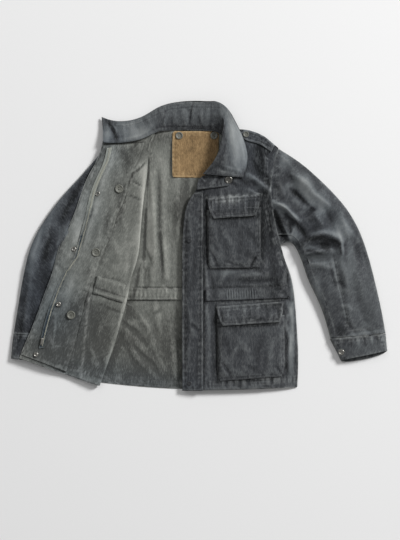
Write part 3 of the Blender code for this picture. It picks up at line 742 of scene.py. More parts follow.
def settle(points, normals, thick, trees):
    """Lifts a piece's points clear of the pieces that it lies on."""
    for index, (x, y, z) in enumerate(points):
        foot = z - thick[index] * (normals[index, 2] > 0)
        for tree in trees:
            spot = tree.ray_cast(Vector((x * MM, y * MM, SKY * MM)), -UP)[0]
            if spot is not None and spot.z / MM + LAYER_GAP > foot:
                points[index, 2] += spot.z / MM + LAYER_GAP - foot
                foot = spot.z / MM + LAYER_GAP


print("crumple at the middle:", crumple_lift(np.zeros((1, 3))).round(2), "mm")

# %% [markdown]
# A sewn label's corners are rounded, because a sharp corner frays. The CAD wall is square, so its corners
# are drawn in to quarter circles, and the rim for its stitches is read off again as the outermost points
# all round.

# %% Rounded corners
RING_STEP = 6


def rounded(points, corner):
    """Draws a square piece's corners in to quarter circles of that radius, in plan."""
    middle = (points[:, :2].min(axis=0) + points[:, :2].max(axis=0)) / 2
    start = (points[:, :2].max(axis=0) - points[:, :2].min(axis=0)) / 2 - corner
    away = points[:, :2] - middle
    part = (np.abs(away) - start) / corner
    near = (part > 0).all(axis=1)
    u, v = part[near].T
    drawn = np.column_stack([u * np.sqrt(1 - v * v / 2), v * np.sqrt(1 - u * u / 2)])
    points[near, :2] = middle + np.sign(away[near]) * (start + drawn * corner)


def ring_of(points):
    """The outermost points in plan, in order round the piece."""
    away = points[:, :2] - points[:, :2].mean(axis=0)
    turn = np.round(np.degrees(np.arctan2(away[:, 1], away[:, 0])) / RING_STEP).astype(int)
    ring = []
    for step in sorted(set(turn)):
        near = np.flatnonzero(turn == step)
        ring.append(tuple(points[near[np.argmax(np.hypot(*away[near].T))]]))
    return ring


print("ring steps in a full turn:", 360 // RING_STEP)

# %% [markdown]
# Tone is soft dark and pale places: partly the dye's own unevenness, partly painted shade and painted
# highlights where folds, flaps, snaps and buttons would shade the cloth or catch the light. Wear is where
# the dye is gone: at rims, beside seams, along worn lines and on whatever stands proud. It is broken up by
# patches, as real wear is.

# %% Tone and wear
PATCHES = [
    # size, amount, seed
    (14, 0.4, 21),
    (5, 0.5, 22),
]
RIM_RUB, SEAM_RUB, HIGH_RUB = 0.7, 0.35, 0.25
RUB_REACH = 2.6


def tone_of(points, spots):
    """Darker and lighter places from a table of x, y, reach in x, reach in y, amount."""
    tone_and_painted_shade = np.zeros(len(points))
    for x, y, reach_x, reach_y, amount in spots:
        away = ((points[:, 0] - x) / reach_x) ** 2 + ((points[:, 1] - y) / reach_y) ** 2
        tone_and_painted_shade += amount * np.exp(-away)
    return tone_and_painted_shade


def wear_of(points, from_rim, rub, relief, worn, worn_lines):
    """How far the dye is rubbed off each point, from 0 to 1."""
    patchy = np.full(len(points), 0.5)
    for size, amount, seed in PATCHES:
        patchy += amount * soft_noise(points, size, seed)
    patchy = np.clip(patchy, 0, 1)
    rubbed = RIM_RUB * worn * np.exp(-from_rim / RUB_REACH) * patchy + SEAM_RUB * worn * rub
    rubbed += (crease_lift(points, worn_lines) + HIGH_RUB * np.clip(relief, 0, 1)) * patchy
    return np.clip(rubbed, 0, 1)


print("tone in the middle of a dark place:", tone_of(np.zeros((1, 3)), [(0, 0, 9, 9, -0.5)]))

# %% [markdown]
# Now the five steps are put together. The tables of zones and of cuts come further down, and say what
# crosses each piece and what its flat cloth measured.

# %% Making one cloth piece
SHELL_WALL = 1.8
SEAM_GROOVE, SEAM_PUCKER = 0.6, 0.7
EDGE_GROOVE, EDGE_PUCKER = 0.5, 0.8
EDGE_FOLD = 7.5
EDGE_SWELL = 0.5
SWELL_REACH = 3
RIM_TAPER = 4.0
RELIEF_ROUNDS = 14
FLOOR_CLEAR = 0.05


def make_cloth(
    node, levels, looks, slot, zone, edge=0.0, angle=0.0, crumple=1.0, on=(), thick=SHELL_WALL,
    worn=1.0, thin=0.0, corner=0.0
):
    """One dressed piece. The zone names the creases, tones, painted shading and worn lines that cross it."""
    creases, spots, painted_shading, worn_lines = ZONES[zone]
    piece, rim = fine_copy(node, levels)
    mesh = piece.data
    points, normals = read_points(mesh)
    if corner:
        rounded(points, corner)
        rim = ring_of(points)
    up = normals[:, 2] > 0
    turn = math.radians(angle)
    spin = np.array([[math.cos(turn), math.sin(turn), 0], [-math.sin(turn), math.cos(turn), 0], [0, 0, 1]])
    lift = crease_lift(points, creases) + crumple * crumple_lift(points @ spin.T)
    presses = [(path, SEAM_GROOVE, SEAM_PUCKER) for path in SEAMS.get(node, ())]
    if edge:
        presses.append((inset(rim, EDGE_FOLD), EDGE_GROOVE * edge, EDGE_PUCKER * edge))
    pressed, rub = seam_lift(points, presses)
    from_rim, _ = beside(points, [place[:2] for place in [*rim, rim[0]]])
    near_rim = np.exp(-((from_rim / RIM_TAPER) ** 2))
    swell = edge * worn * EDGE_SWELL * np.exp(-(((from_rim - EDGE_FOLD / 2) / SWELL_REACH) ** 2))
    taper = thin * near_rim
    points[:, 2] += (lift + pressed) * np.abs(normals[:, 2]) + (swell - taper) * up
    if on:
        settle(points, normals, thick - taper, top_of(on))
    points[:, 2] = np.maximum(points[:, 2], FLOOR_CLEAR + thick * up)
    write_points(mesh, points)
    relief = relief_of(mesh, RELIEF_ROUNDS) * (1 - (1 - worn) * near_rim)
    carry(mesh, "grain", points @ spin.T * MM)
    carry(mesh, "relief", relief)
    carry(mesh, "wear", wear_of(points, from_rim, rub, relief, worn, worn_lines))
    # The tone adds the painted shade and painted highlight lines to the tone spots
    carry(mesh, "tone_and_painted_shade", tone_of(points, spots) + crease_lift(points, painted_shading))
    carry(mesh, "cool", np.clip(tone_of(points, COOL_PLACES), 0, 1))
    for look in looks:
        mesh.materials.append(look)
    mesh.shade_smooth()
    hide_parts(node)
    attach(piece, "root")
    width, length, held, rests_on = CUTS[node]
    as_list(rests_on)
    made[node] = piece
    rims[node] = rim
    print(node, "points:", len(points), "lift:", lift.min().round(1), "to", lift.max().round(1), "mm")


# %% [markdown]
# The tables that follow are this jacket's own creases, seams and uneven tones, with the painted shade and
# painted highlights along its folds and edges, read off and set one by one. X runs towards the left sleeve,
# Y towards the collar, and both start in the middle of the jacket. The back lies inside up. Its long folds
# hang from the neck to the waist, and below the waist channel the cloth fans out to the hem. Painted shade
# runs beside the turned front's fold and beside the left front's placket.

# %% The back
# Creases: x1, y1, x2, y2, width, rise, bow
BACK_CREASES = [
    (-162, -8, -132, -46, 9.6, -7.6, 3), (-135, -43, -143, -108, 9.6, -6.5, -3),
    (-130, 189, -122, -103, 13.8, 4.9, 4), (-97, 135, -89, -124, 12.4, 3.8, -4),
    (-111, 216, -109, 22, 9.6, -4.3), (-109, 27, -97, -100, 8.3, -5.4, 2), (-100, -89, -78, -113, 7, -3.8),
    (-78, 292, -86, 111, 12.4, -3.8, 3), (-54, 259, -57, 27, 12.4, 2.7, -2),
    (-73, 111, -68, -105, 9.6, -2.7, 2), (-208, -205, -146, -262, 7.9, -3.3, 4),
    (-181, -262, -143, -305, 7.9, -3, -2), (-146, -300, -111, -348, 7.9, -2.6, 3),
    (-232, -300, -211, -359, 6.7, -2), (-127, -186, -103, -173, 5.3, -1.7),
    (-194, -243, -159, -319, 10.6, 2.3), (-135, -216, -89, -346, 13.2, 2, -5),
    (-84, -159, -70, -367, 11.8, 1.3, 3), (-165, -178, -132, -227, 7.9, 2),
    (-251, -340, -186, -359, 5.3, -1.3), (-216, -267, -192, -297, 6.7, 1.7),
    (-111, -227, -97, -286, 6.7, -1.7, 2), (-62, -173, -57, -324, 7.9, -1.7),
    (-143, -146, -130, -194, 5.5, -2.2), (-140, 211, -135, 97, 7, -3.2),
    (-119, -146, -105, -267, 8.3, 2.2, 3),
]
# Tones: x, y, reach in x, reach in y, amount
BACK_TONES = [
    # Among these, painted shade: the dark strip beside the left front's placket edge and the dark place under
    # the collar at the neck
    (-105, 225, 10, 24, 0.35), (-132, 236, 9, 16, -0.4), (-134, 20, 9, 60, 0.5), (-140, -312, 30, 20, -0.3),
    (-95, 170, 30, 60, 0.1), (-35, -40, 12, 330, -0.7), (-52, 95, 14, 50, -0.85), (-105, 60, 12, 90, -0.55),
    (-84, 60, 12, 90, -0.2), (-51, -70, 9, 160, 0.25), (-100, 296, 44, 18, -0.6), (-134, 130, 8, 90, 0.35),
    (-140, -75, 12, 40, -0.25), (-130, -290, 200, 100, -0.38), (-120, -366, 150, 30, -0.45),
    (-76, -230, 12, 110, -0.25), (-180, -240, 20, 40, -0.3),
]
# Painted shading, a painted highlight or a painted shade along a line, and worn lines: both are written as
# creases are, with an amount as their rise
BACK_PAINTED_SHADING = [
    (-136, 232, -139, 150, 3, -1.1), (-138, 150, -144, 70, 2.5, -0.6), (-142, 100, -150, -60, 3, -1.2),
    (-158, -50, -178, -150, 3.5, -0.9), (-178, -120, -214, -270, 4, -1.1), (-208, -240, -258, -374, 5, -1.1),
    (-188, -166, -176, -190, 8, -0.5), (-190, -366, -60, -376, 4, -0.3), (-119, 160, -112, -60, 12, 0.25, 4),
    (-90, 100, -86, -90, 9, 0.22, -4), (-104, 60, -100, -100, 5, -0.35, 2), (-185, -112, -45, -112, 2, -0.6),
    (-185, -147, -45, -147, 2, -0.6),
]
BACK_WORN = [
    (-70, 309, -70, 184, 3, 0.4), (-70, 184, 40, 184, 3, 0.4),
]
print("back creases:", len(BACK_CREASES))

# %% [markdown]
# The right front is folded back on itself at a soft roll. Its pocket bags and its shoulder seam press
# through from below as short slanting creases and painted shade lines, and the roll's edge is rubbed pale
# and given a painted highlight from end to end.

# %% The right front's creases and worn lines
RIGHT_FRONT_CREASES = [
    (-230, 270, -259, 173, 10, 2, 3), (-211, 259, -194, 189, 8.6, -1.6), (-165, 278, -184, 259, 5.7, -2),
    (-135, 259, -111, 308, 5.7, 1.6), (-140, 289, -192, 273, 7.2, 1.6, 3),
    (-256, 159, -284, 65, 11.4, 1.6, -3), (-240, 124, -256, 27, 8.6, -1.3, 3),
    (-330, 27, -351, -32, 5.7, 1.6), (-300, 86, -321, -11, 8.6, -1.6, 2), (-219, 124, -192, 38, 12.9, 1.3),
    (-176, 111, -192, -11, 11.4, -1.3, -3), (-184, -32, -194, -103, 7.2, -2, 2),
    (-267, -43, -235, -68, 7.2, -1.6), (-292, -103, -275, -113, 5.7, -2.6),
    (-313, -146, -300, -162, 5.7, -2.6), (-286, -59, -300, -100, 7.2, 1.6), (-235, 27, -213, -43, 10, 1.3, 3),
    (-256, -184, -273, -281, 12.9, 1.6, -4), (-219, -178, -240, -286, 11.4, -2, 4),
    (-305, -227, -281, -313, 10, 1.6), (-348, -146, -327, -205, 8.6, -1.6),
    (-364, -238, -375, -297, 7.2, -1.6), (-335, -254, -348, -313, 8.6, 1.3),
    (-408, -227, -392, -270, 7.2, 1.3), (-386, -43, -359, -70, 7.2, -1.3), (-240, -103, -230, -135, 4.3, -1),
    (-211, -111, -202, -148, 4.3, -1), (-197, -194, -224, -308, 10, 2, 3),
    (-267, -286, -256, -356, 8.6, -1.6), (-440, -254, -408, -286, 5.7, -1.3), (-275, 65, -289, 0, 8.6, -1.3),
    (-340, -92, -359, -135, 8.6, 1.3),
]
RIGHT_WORN = [
    (-141, 232, -152, 60, 2.5, 0.7, -3), (-150, 80, -164, -60, 2.5, 0.7), (-162, -40, -190, -150, 2.5, 0.6),
    (-262, 262, -300, 150, 3, 0.4),
]
print("right front creases:", len(RIGHT_FRONT_CREASES))

# %% [markdown]
# The facing has a painted shadow round each snap and button, and a painted highlight down the roll.

# %% The right front's tones, painted shade and painted highlights
RIGHT_TONES = [
    (-166, 36, 10, 40, 0.3), (-214, -58, 40, 10, 0.25), (-294, -72, 12, 16, -0.25),
    (-308, -155, 20, 20, -0.15), (-372, -12, 10, 30, -0.3), (-322, 30, 12, 36, 0.3),
    (-240, 180, 90, 70, 0.04), (-250, 262, 60, 30, -0.4), (-170, 244, 30, 20, -0.35),
    (-198, 210, 18, 26, -0.2), (-214, 115, 16, 60, -0.4), (-246, 55, 16, 44, -0.35), (-322, 40, 18, 40, 0.35),
    (-150, 60, 10, 110, 0.55), (-164, -50, 14, 40, 0.3), (-380, -270, 110, 90, -0.55),
    (-270, -230, 60, 120, -0.4), (-324, -160, 26, 22, -0.32), (-262, -142, 24, 12, 0.25),
    (-400, 40, 24, 40, 0.25), (-350, -16, 14, 30, 0.15), (-190, -156, 14, 34, 0.6),
    (-300, -40, 90, 90, -0.06), (-152, 205, 13, 26, 0.5), (-230, -345, 60, 30, -0.35),
    # From here: painted shadow rings round the four fly snaps and the three liner buttons
    (-270, 139, 10, 10, -0.5), (-334, -9, 10, 10, -0.5), (-375, -157, 10, 10, -0.5),
    (-436, -292, 10, 10, -0.5), (-213, 153, 15, 15, -0.45), (-275, -18, 15, 15, -0.45),
    (-342, -186, 15, 15, -0.45),
]
RIGHT_PAINTED_SHADING = [
    (-143, 232, -152, 80, 4, 0.6, -3), (-152, 100, -160, -40, 4, 0.6), (-164, -40, -192, -150, 4, 0.55),
    (-192, -130, -264, -374, 4, 0.45), (-262, 262, -300, 150, 12, -0.35), (-372, 20, -432, -181, 12, -0.35),
    (-250, 200, -290, 60, 9, 0.22), (-196, 30, -190, -60, 14, 0.18), (-330, -90, -352, -150, 12, 0.15),
    (-222, 216, -240, 150, 12, -0.22, 4), (-186, 177, -146, 158, 2.2, -0.7), (-184, 172, -148, 153, 2, 0.35),
    (-191, 137, -148, 121, 2.2, -0.7), (-140, 232, -178, 194, 2.8, -1.1, 3),
    (-176, 198, -188, 170, 2.8, -0.9), (-112, 312, -140, 250, 2.5, -0.7, -6), (-124, 305, -135, 267, 3, 0.4),
    (-173, 271, -131, 301, 3, -0.6, -3), (-165, 284, -134, 306, 3, 0.35, -3), (-131, 292, -125, 256, 3, -0.7),
    (-210, 262, -186, 214, 6, -0.35, 4), (-228, 262, -236, 214, 5, 0.3), (-138, 236, -186, 196, 2.5, 0.35, 3),
    (-300, -124, -196, -155, 2, -0.7), (-296, -118, -204, -147, 2, 0.3), (-278, -112, -192, -140, 2, -0.7),
    (-300, -126, -290, -172, 3, -0.7), (-270, -157, -202, -181, 2, -0.6), (-248, -84, -188, -98, 2.5, -0.35),
    (-284, 108, -300, 60, 3, -0.7, 2), (-300, 60, -330, -40, 3, -0.6, -3), (-350, -60, -384, -140, 3, -0.6),
    (-262, 190, -284, 112, 3, -0.35), (-404, -176, -426, -262, 4, -1.2), (-392, -190, -402, -278, 4, -1),
    (-384, -196, -392, -262, 3, 0.5), (-402, -286, -352, -280, 4, -1.1, 2), (-394, -272, -356, -268, 4, 0.35),
    (-360, -250, -348, -214, 3, -0.6), (-312, -150, -302, -180, 3, -0.8), (-412, -302, -340, -322, 3, -0.7),
    (-440, -260, -420, -330, 6, -0.4), (-194, 184, -216, 100, 2.5, -0.3),
]
print("right front shades:", len(RIGHT_PAINTED_SHADING))

# %% [markdown]
# The left front lies closed over the body. The sleeve pulls at the armhole, the waist channel gathers the
# cloth above and below it, and the side seam's ridge, rubbed and given a painted highlight, wanders where
# the body's two layers slid on each other.

# %% The left front's creases and worn lines
LEFT_FRONT_CREASES = [
    (111, -97, 194, -92, 5.2, -3.9, -2), (105, -81, 181, -74, 5.2, 2.2), (251, -157, 230, -208, 7.8, 4.4, 2),
    (230, -205, 247, -251, 7.8, 4.4, -2), (246, -246, 232, -313, 7.8, 3.9, 2),
    (232, -313, 246, -373, 7.8, -2.8), (130, 192, 200, 135, 7.8, 6.1, 3), (138, 170, 186, 116, 7.8, -3.3),
    (181, 113, 192, 27, 7.8, -3.9, 2), (197, 49, 227, -59, 9.1, 3.3, -4), (170, 16, 208, -103, 10.4, -2.8, 4),
    (208, -103, 246, -146, 6.5, -3.3), (235, -59, 216, -146, 7.8, 2.8), (16, -43, 22, -124, 6.5, 2.2),
    (27, -70, 43, -140, 6.5, -2.8), (73, -65, 54, -103, 6.5, 2.2), (194, -146, 230, -135, 5.2, 2.8),
    (240, -178, 251, -270, 5.2, -2.8), (19, -162, 32, -308, 7.8, 2.2, 3), (30, -227, 40, -367, 7.8, -2.8),
    (-30, 111, -19, -11, 9.1, 2.2), (-8, 54, -22, -119, 9.1, -2, 3), (-32, -146, -19, -238, 6.5, 2.2),
    (-27, -205, 0, -235, 5.2, -2.4, 2), (-24, -240, -35, -340, 7.8, 2), (-3, -248, -8, -383, 6.5, -1.7),
    (92, -367, 116, -383, 5.2, -2.2), (170, -373, 192, -383, 5.2, -2), (46, 184, 24, 151, 7.8, 2.8),
    (78, 178, 105, 157, 6.5, -2.2), (130, 151, 170, 135, 6.5, 2.2), (143, 232, 170, 178, 7.8, -3.3),
    (170, 259, 186, 189, 9.1, 2.8), (159, 273, 170, 219, 6.5, -2.2),
]
FRONT_WORN = [
    (22, 129, 168, 138, 3.2, 1.6), (52, 120, 112, 122, 7, 1), (48, -156, 226, -144, 3, 0.5),
    (-42, 60, -43, -380, 2.5, 0.4), (208, 208, 180, 116, 2.5, 0.4),
]
print("left front creases:", len(LEFT_FRONT_CREASES))

# %% [markdown]
# A pocket bag is sewn down on three sides, so its cloth buckles at the lower corners. Flaps are doubled and
# stiff, and their folds run straight down from the seam in a row, like the teeth of a coarse comb.

# %% The pockets' creases
POCKET_CREASES = [
    (32, -16, 49, -59, 4, -3, 2), (154, -27, 138, -59, 4, -5, -2), (143, -16, 170, -43, 5, 2),
    (62, 49, 94, -32, 10, 1.6, 5), (119, 59, 105, -43, 9, -1.6, -4), (40, 54, 51, 0, 6, 1.4),
    (73, -43, 111, -54, 4, -1.2), (132, 43, 154, 0, 7, -1.6), (59, -310, 86, -351, 4, -3.5, 2),
    (62, -286, 57, -324, 4, 1.5), (100, -243, 138, -302, 9, 1.5, 4), (170, -238, 154, -324, 10, -1.6, -4),
    (197, -254, 186, -340, 7, 1.4), (73, -248, 81, -286, 4, -1.6), (127, -319, 170, -346, 6, -1.4),
    (208, -324, 230, -356, 4, -2.2), (105, -265, 89, -297, 5, 1.2), (38, 135, 35, 92, 3.2, 2),
    (50, 143, 51, 89, 2.6, -1.8), (59, 148, 59, 92, 3, 2.2), (70, 146, 73, 103, 2.6, -2),
    (81, 146, 81, 100, 3, 2), (94, 140, 92, 86, 3, -1.4), (105, 143, 108, 97, 3, 1.4),
    (122, 140, 124, 81, 4, 2.2), (135, 135, 132, 86, 4, -2.2), (151, 138, 148, 89, 4, 1.8),
    (162, 135, 159, 97, 3, -1.6), (57, 81, 111, 78, 3, 1.2), (61, -167, 62, -211, 3, -2.2),
    (53, -167, 51, -200, 3, 1.8), (78, -165, 76, -205, 4, 1.5), (100, -170, 103, -208, 3, -1),
    (122, -162, 119, -202, 4, 1.5), (135, -162, 135, -202, 2.6, -2.2), (154, -159, 159, -205, 5, 1.5),
    (178, -157, 184, -200, 3.4, -1.8), (196, -160, 192, -200, 3.4, 1.4), (211, -157, 213, -200, 3, -2),
    (221, -154, 219, -194, 3, 1.6), (143, -202, 170, -194, 3, -1.4),
]
print("pocket creases:", len(POCKET_CREASES))

# %% [markdown]
# On the left front painted shade lines follow the placket, the pockets' edges and the channel, and painted
# highlights run down the side seam.

# %% The left front's tones, painted shade and painted highlights
FRONT_TONES = [
    # Painted shade among these: below the collar's leaf and the epaulette and round the top snap; the pale
    # strip down the side seam is a painted highlight
    (196, 110, 10, 30, 0.3), (70, -72, 24, 14, 0.25), (178, 70, 24, 100, -0.5), (60, 92, 40, 14, -0.15),
    (140, 100, 20, 20, -0.25), (150, -30, 22, 20, -0.25), (60, -220, 12, 90, -0.2), (-10, 150, 34, 24, -0.25),
    (90, 265, 40, 40, 0.15), (166, 250, 18, 30, -1), (170, 210, 18, 20, -0.4), (204, 168, 24, 22, -0.45),
    (163, 158, 16, 10, 0.7), (100, -135, 40, 20, 0.35), (205, -110, 24, 70, -0.35), (250, -250, 9, 110, 0.7),
    (84, 186, 14, 14, -0.6), (170, 90, 12, 50, -0.25), (104, -168, 60, 10, 0.25), (150, -200, 40, 14, -0.2),
    (44, -200, 10, 14, -0.3),
]
FRONT_PAINTED_SHADING = [
    (21, 134, 23, -62, 3.2, -1.5), (46, -160, 50, -366, 3.2, -1.3), (38, 70, 158, 79, 3, -1.1),
    (60, -219, 220, -208, 3, -1.1), (30, -63, 162, -61, 3, -0.7), (54, -367, 228, -356, 3, -0.7),
    (14, 148, 14, -170, 2.6, -0.6), (14, -120, 14, -389, 2.6, -0.6), (4, 120, 4, -380, 2, -0.3),
    (19, -112, 236, -106, 2.2, -0.5), (19, -152, 242, -144, 2.2, -0.5), (192, 112, 226, -10, 5, -0.8, 3),
    (240, -20, 256, -130, 5, 0.45, 3), (226, -10, 240, -110, 6, -0.5, 3), (236, -150, 252, -220, 6, 0.55, 6),
    (252, -220, 244, -360, 6, 0.45, -4), (240, -230, 236, -350, 5, -0.6), (258, -170, 262, -360, 4, -0.4),
    (176, 70, 190, -60, 9, 0.2), (-34, 90, -36, -380, 5, -0.25), (30, 0, 34, -110, 7, 0.15),
    (20, -160, 34, -340, 6, 0.2), (60, -74, 170, -70, 6, 0.3, 4), (90, -92, 200, -86, 3, -0.5, 3),
    (150, -62, 190, -80, 3, -0.4), (48, 172, 70, 204, 4, -0.5), (104, 186, 140, 160, 5, -0.4),
    (120, 196, 170, 170, 5, 0.35), (168, 120, 172, -60, 3, -0.4),
]
print("left front shades:", len(FRONT_PAINTED_SHADING))

# %% [markdown]
# The left sleeve is bent, so its cloth piles up at the elbow and under the arm in short deep folds, with
# long soft ones down to the cuff.

# %% The left sleeve's creases and worn lines
LEFT_SLEEVE_CREASES = [
    (281, -24, 316, -15, 6.7, 9.4), (308, -16, 351, -9, 6.7, 7.8, -2), (284, -43, 354, -32, 10, -7.8),
    (273, -11, 297, 14, 8.3, 9.4, 3), (294, 22, 332, 35, 8.3, 9.4), (321, 35, 381, 14, 10, 9.4, 5),
    (305, 3, 364, -3, 8.3, -7.8), (375, 16, 386, -27, 10, 6.2), (278, 78, 310, 100, 8.3, -9.4),
    (240, 197, 281, 176, 11.7, 6.2), (267, 178, 308, 140, 13.3, 6.2, 4), (297, 146, 356, 103, 11.7, 5.5),
    (246, 151, 289, 111, 10, -6.2), (364, 119, 394, 38, 13.3, 6.2, 5), (392, 46, 405, 16, 10, 4.8),
    (338, 97, 359, 49, 11.7, -6.2), (200, 116, 248, 86, 8.3, 7.8, 4), (238, 89, 265, 68, 8.3, 6.2),
    (197, 92, 230, 16, 10, -11), (246, 70, 251, 43, 8.3, -7.8), (227, 108, 273, 49, 8.3, 4.8, 3),
    (262, 65, 284, 27, 10, -7.8), (219, 246, 251, 211, 13.3, 4.8), (273, 211, 321, 167, 13.3, -4.8, 4),
    (321, 151, 354, 124, 10, 3.9), (381, -43, 400, -135, 14.9, 4.8, 3), (370, -59, 386, -146, 11.7, -3.9),
    (413, -43, 440, -146, 16.7, 3.9, 4), (424, -119, 451, -213, 14.9, -3.9, -3),
    (397, -146, 413, -232, 11.7, 3.9), (467, -146, 483, -227, 14.9, 3.1, 3), (440, -11, 462, -92, 13.3, -3.9),
    (386, -194, 424, -238, 8.3, -3.9), (408, 16, 440, -43, 13.3, -4.8), (289, -43, 354, -59, 10, 4.8),
    (354, -97, 392, -108, 8.3, -3.1), (381, -159, 413, -170, 8.3, 3.1), (332, 205, 375, 151, 14.9, 3.9),
    (235, 232, 262, 138, 13.3, -3.9, -4), (305, 92, 332, 54, 10, 4.8), (446, -221, 467, -238, 6.7, -3.1),
    (208, 184, 230, 130, 10, 3.9),
]
SLEEVE_WORN = [
    (400, -228, 500, -218, 3, 0.5), (200, 116, 240, 94, 3, 0.5, 3),
]
print("left sleeve creases:", len(LEFT_SLEEVE_CREASES))

# %% [markdown]
# The deep folds at the elbow and under the arm have a painted shade line inside and a painted highlight on
# top, and many of the tones below are painted highlights and painted shade on the folds.

# %% The left sleeve's tones, painted shade and painted highlights
SLEEVE_TONES = [
    (222, 90, 14, 14, 0.4), (222, 24, 10, 14, 0.4), (290, 140, 10, 14, 0.5), (226, 30, 14, 34, -0.6),
    (218, 104, 22, 12, 0.5), (248, 76, 14, 12, 0.6), (252, 24, 20, 12, 0.6), (272, -30, 14, 12, 0.5),
    (300, 74, 14, 12, -0.35), (318, 44, 14, 12, -0.3), (318, -34, 30, 12, 0.75), (318, -130, 12, 60, 0.5),
    (352, -60, 16, 60, 0.25), (384, -20, 12, 50, 0.45), (430, -10, 14, 60, -0.25), (230, 232, 16, 24, 0.6),
    (278, 166, 16, 24, 0.8), (272, 130, 14, 14, 0.45), (300, 122, 16, 20, 0.7), (326, 104, 18, 22, 0.7),
    (246, 158, 16, 14, 0.45), (215, 165, 12, 20, -0.3), (376, 46, 22, 26, 0.6), (406, -40, 16, 60, 0.4),
    (440, -170, 70, 150, 0.24), (300, 120, 60, 60, 0.1), (386, -232, 18, 26, -0.5), (470, -270, 60, 30, 0.05),
]
SLEEVE_PAINTED_SHADING = [
    (200, 120, 240, 94, 4, 0.6, 3), (242, 92, 276, 66, 4, 0.4), (232, 84, 262, 62, 4, -0.8),
    (206, 92, 232, 20, 6, -1), (262, 60, 288, 24, 5, -0.9), (210, 70, 246, 40, 4, 0.5),
    (246, 62, 262, 30, 3.5, 0.5), (226, 40, 240, 14, 4, -1), (330, 2, 346, -12, 5, -0.9),
    (280, -8, 330, -22, 4, -0.5), (284, 2, 322, -8, 4, 0.4), (286, 12, 330, 22, 5, -1.3, 3),
    (330, 14, 386, 2, 6, -0.8, 5), (390, 20, 392, -40, 6, -0.5), (294, 30, 334, 42, 5, 0.5),
    (330, 22, 346, -6, 6, -1.3), (322, 44, 384, 22, 6, 0.45, 5), (284, -42, 350, -36, 4, -0.3),
    (246, 154, 300, 104, 7, -1), (296, 104, 318, 92, 6, -0.6), (300, 150, 352, 108, 8, 0.6),
    (240, 226, 262, 150, 8, 0.25), (268, 184, 312, 148, 8, 0.3, 4), (354, -26, 378, -120, 4, 0.4),
    (348, -40, 370, -120, 4, -0.4), (378, -120, 398, -215, 4, 0.35), (227, 54, 246, 20, 3, 0.9),
    (246, 20, 256, 50, 3, 0.7), (240, 60, 248, 36, 4, -1.2), (203, 97, 222, 44, 4, -1.2),
    (222, 44, 236, 12, 4, -1.2), (272, -12, 300, -10, 5, 0.6, 3), (370, 49, 388, -12, 4, 0.6),
    (375, 16, 381, -24, 3, -1), (364, 104, 430, 14, 6, 0.45, -4), (430, 14, 442, -40, 6, 0.35),
    (408, -248, 410, -270, 3, -0.5), (426, -244, 430, -270, 3, 0.45), (444, -240, 446, -268, 3, -0.5),
    (462, -238, 466, -264, 3, 0.45), (480, -236, 482, -262, 3, -0.5), (492, -234, 496, -262, 3, 0.5),
    (400, -240, 500, -226, 4, 0.5), (398, -250, 500, -236, 2.5, -0.6),
]
print("left sleeve shades:", len(SLEEVE_PAINTED_SHADING))

# %% [markdown]
# The right sleeve comes out from under the turned front, and shows a few long folds down its outer edge,
# with painted shade and painted highlights along them.

# %% The right sleeve
RIGHT_SLEEVE_CREASES = [
    (-332, 108, -375, -16, 15.3, 4.5, -4), (-397, 86, -429, -22, 15.3, 4.5, 4),
    (-370, 65, -402, -43, 11.9, -4.5), (-300, 189, -332, 103, 13.6, 3.9, 3),
    (-316, 135, -359, 54, 10.2, -3.9), (-429, -11, -462, -119, 15.3, 3.9, -3),
    (-408, -43, -440, -146, 13.6, -3.9, 3), (-456, -113, -478, -216, 13.6, 3.2),
    (-435, -146, -456, -248, 11.9, -3.2), (-375, 16, -402, -16, 8.5, 2.6),
    (-478, -194, -489, -281, 10.2, -2.6), (-278, 221, -305, 167, 10.2, -3.2),
]
RIGHT_SLEEVE_TONES = [
    (-430, -190, 14, 24, -0.25), (-400, 80, 30, 50, 0.35), (-450, -10, 30, 50, 0.25),
    (-470, -200, 60, 100, -0.15),
]
RIGHT_SLEEVE_PAINTED_SHADING = [
    (-300, 190, -372, 60, 8, -0.8, -4), (-318, 190, -398, 96, 7, 0.7, -6), (-372, 60, -396, -60, 6, 0.7, 4),
    (-396, 60, -424, -60, 9, -0.7, 3), (-426, 50, -456, -60, 7, 0.6, 3), (-360, 20, -384, -60, 6, -0.9),
    (-346, 60, -366, 0, 5, 0.5), (-400, -70, -430, -210, 9, -0.6, 3), (-446, -60, -474, -230, 8, 0.2, 3),
    (-420, 60, -452, -30, 8, 0.5, 4), (-400, -130, -450, -240, 20, -0.3), (-374, 20, -384, -20, 8, -0.5),
    (-462, -120, -490, -280, 5, -0.4, 2), (-430, -120, -444, -230, 7, 0.3),
]
print("right sleeve creases:", len(RIGHT_SLEEVE_CREASES))

# %% [markdown]
# The collar stands open on the right and turns down on the left. Short upright folds cross its stand, with
# painted shade and highlights beside them, and its roll, rubbed and given a painted highlight, is the
# palest place of the jacket.

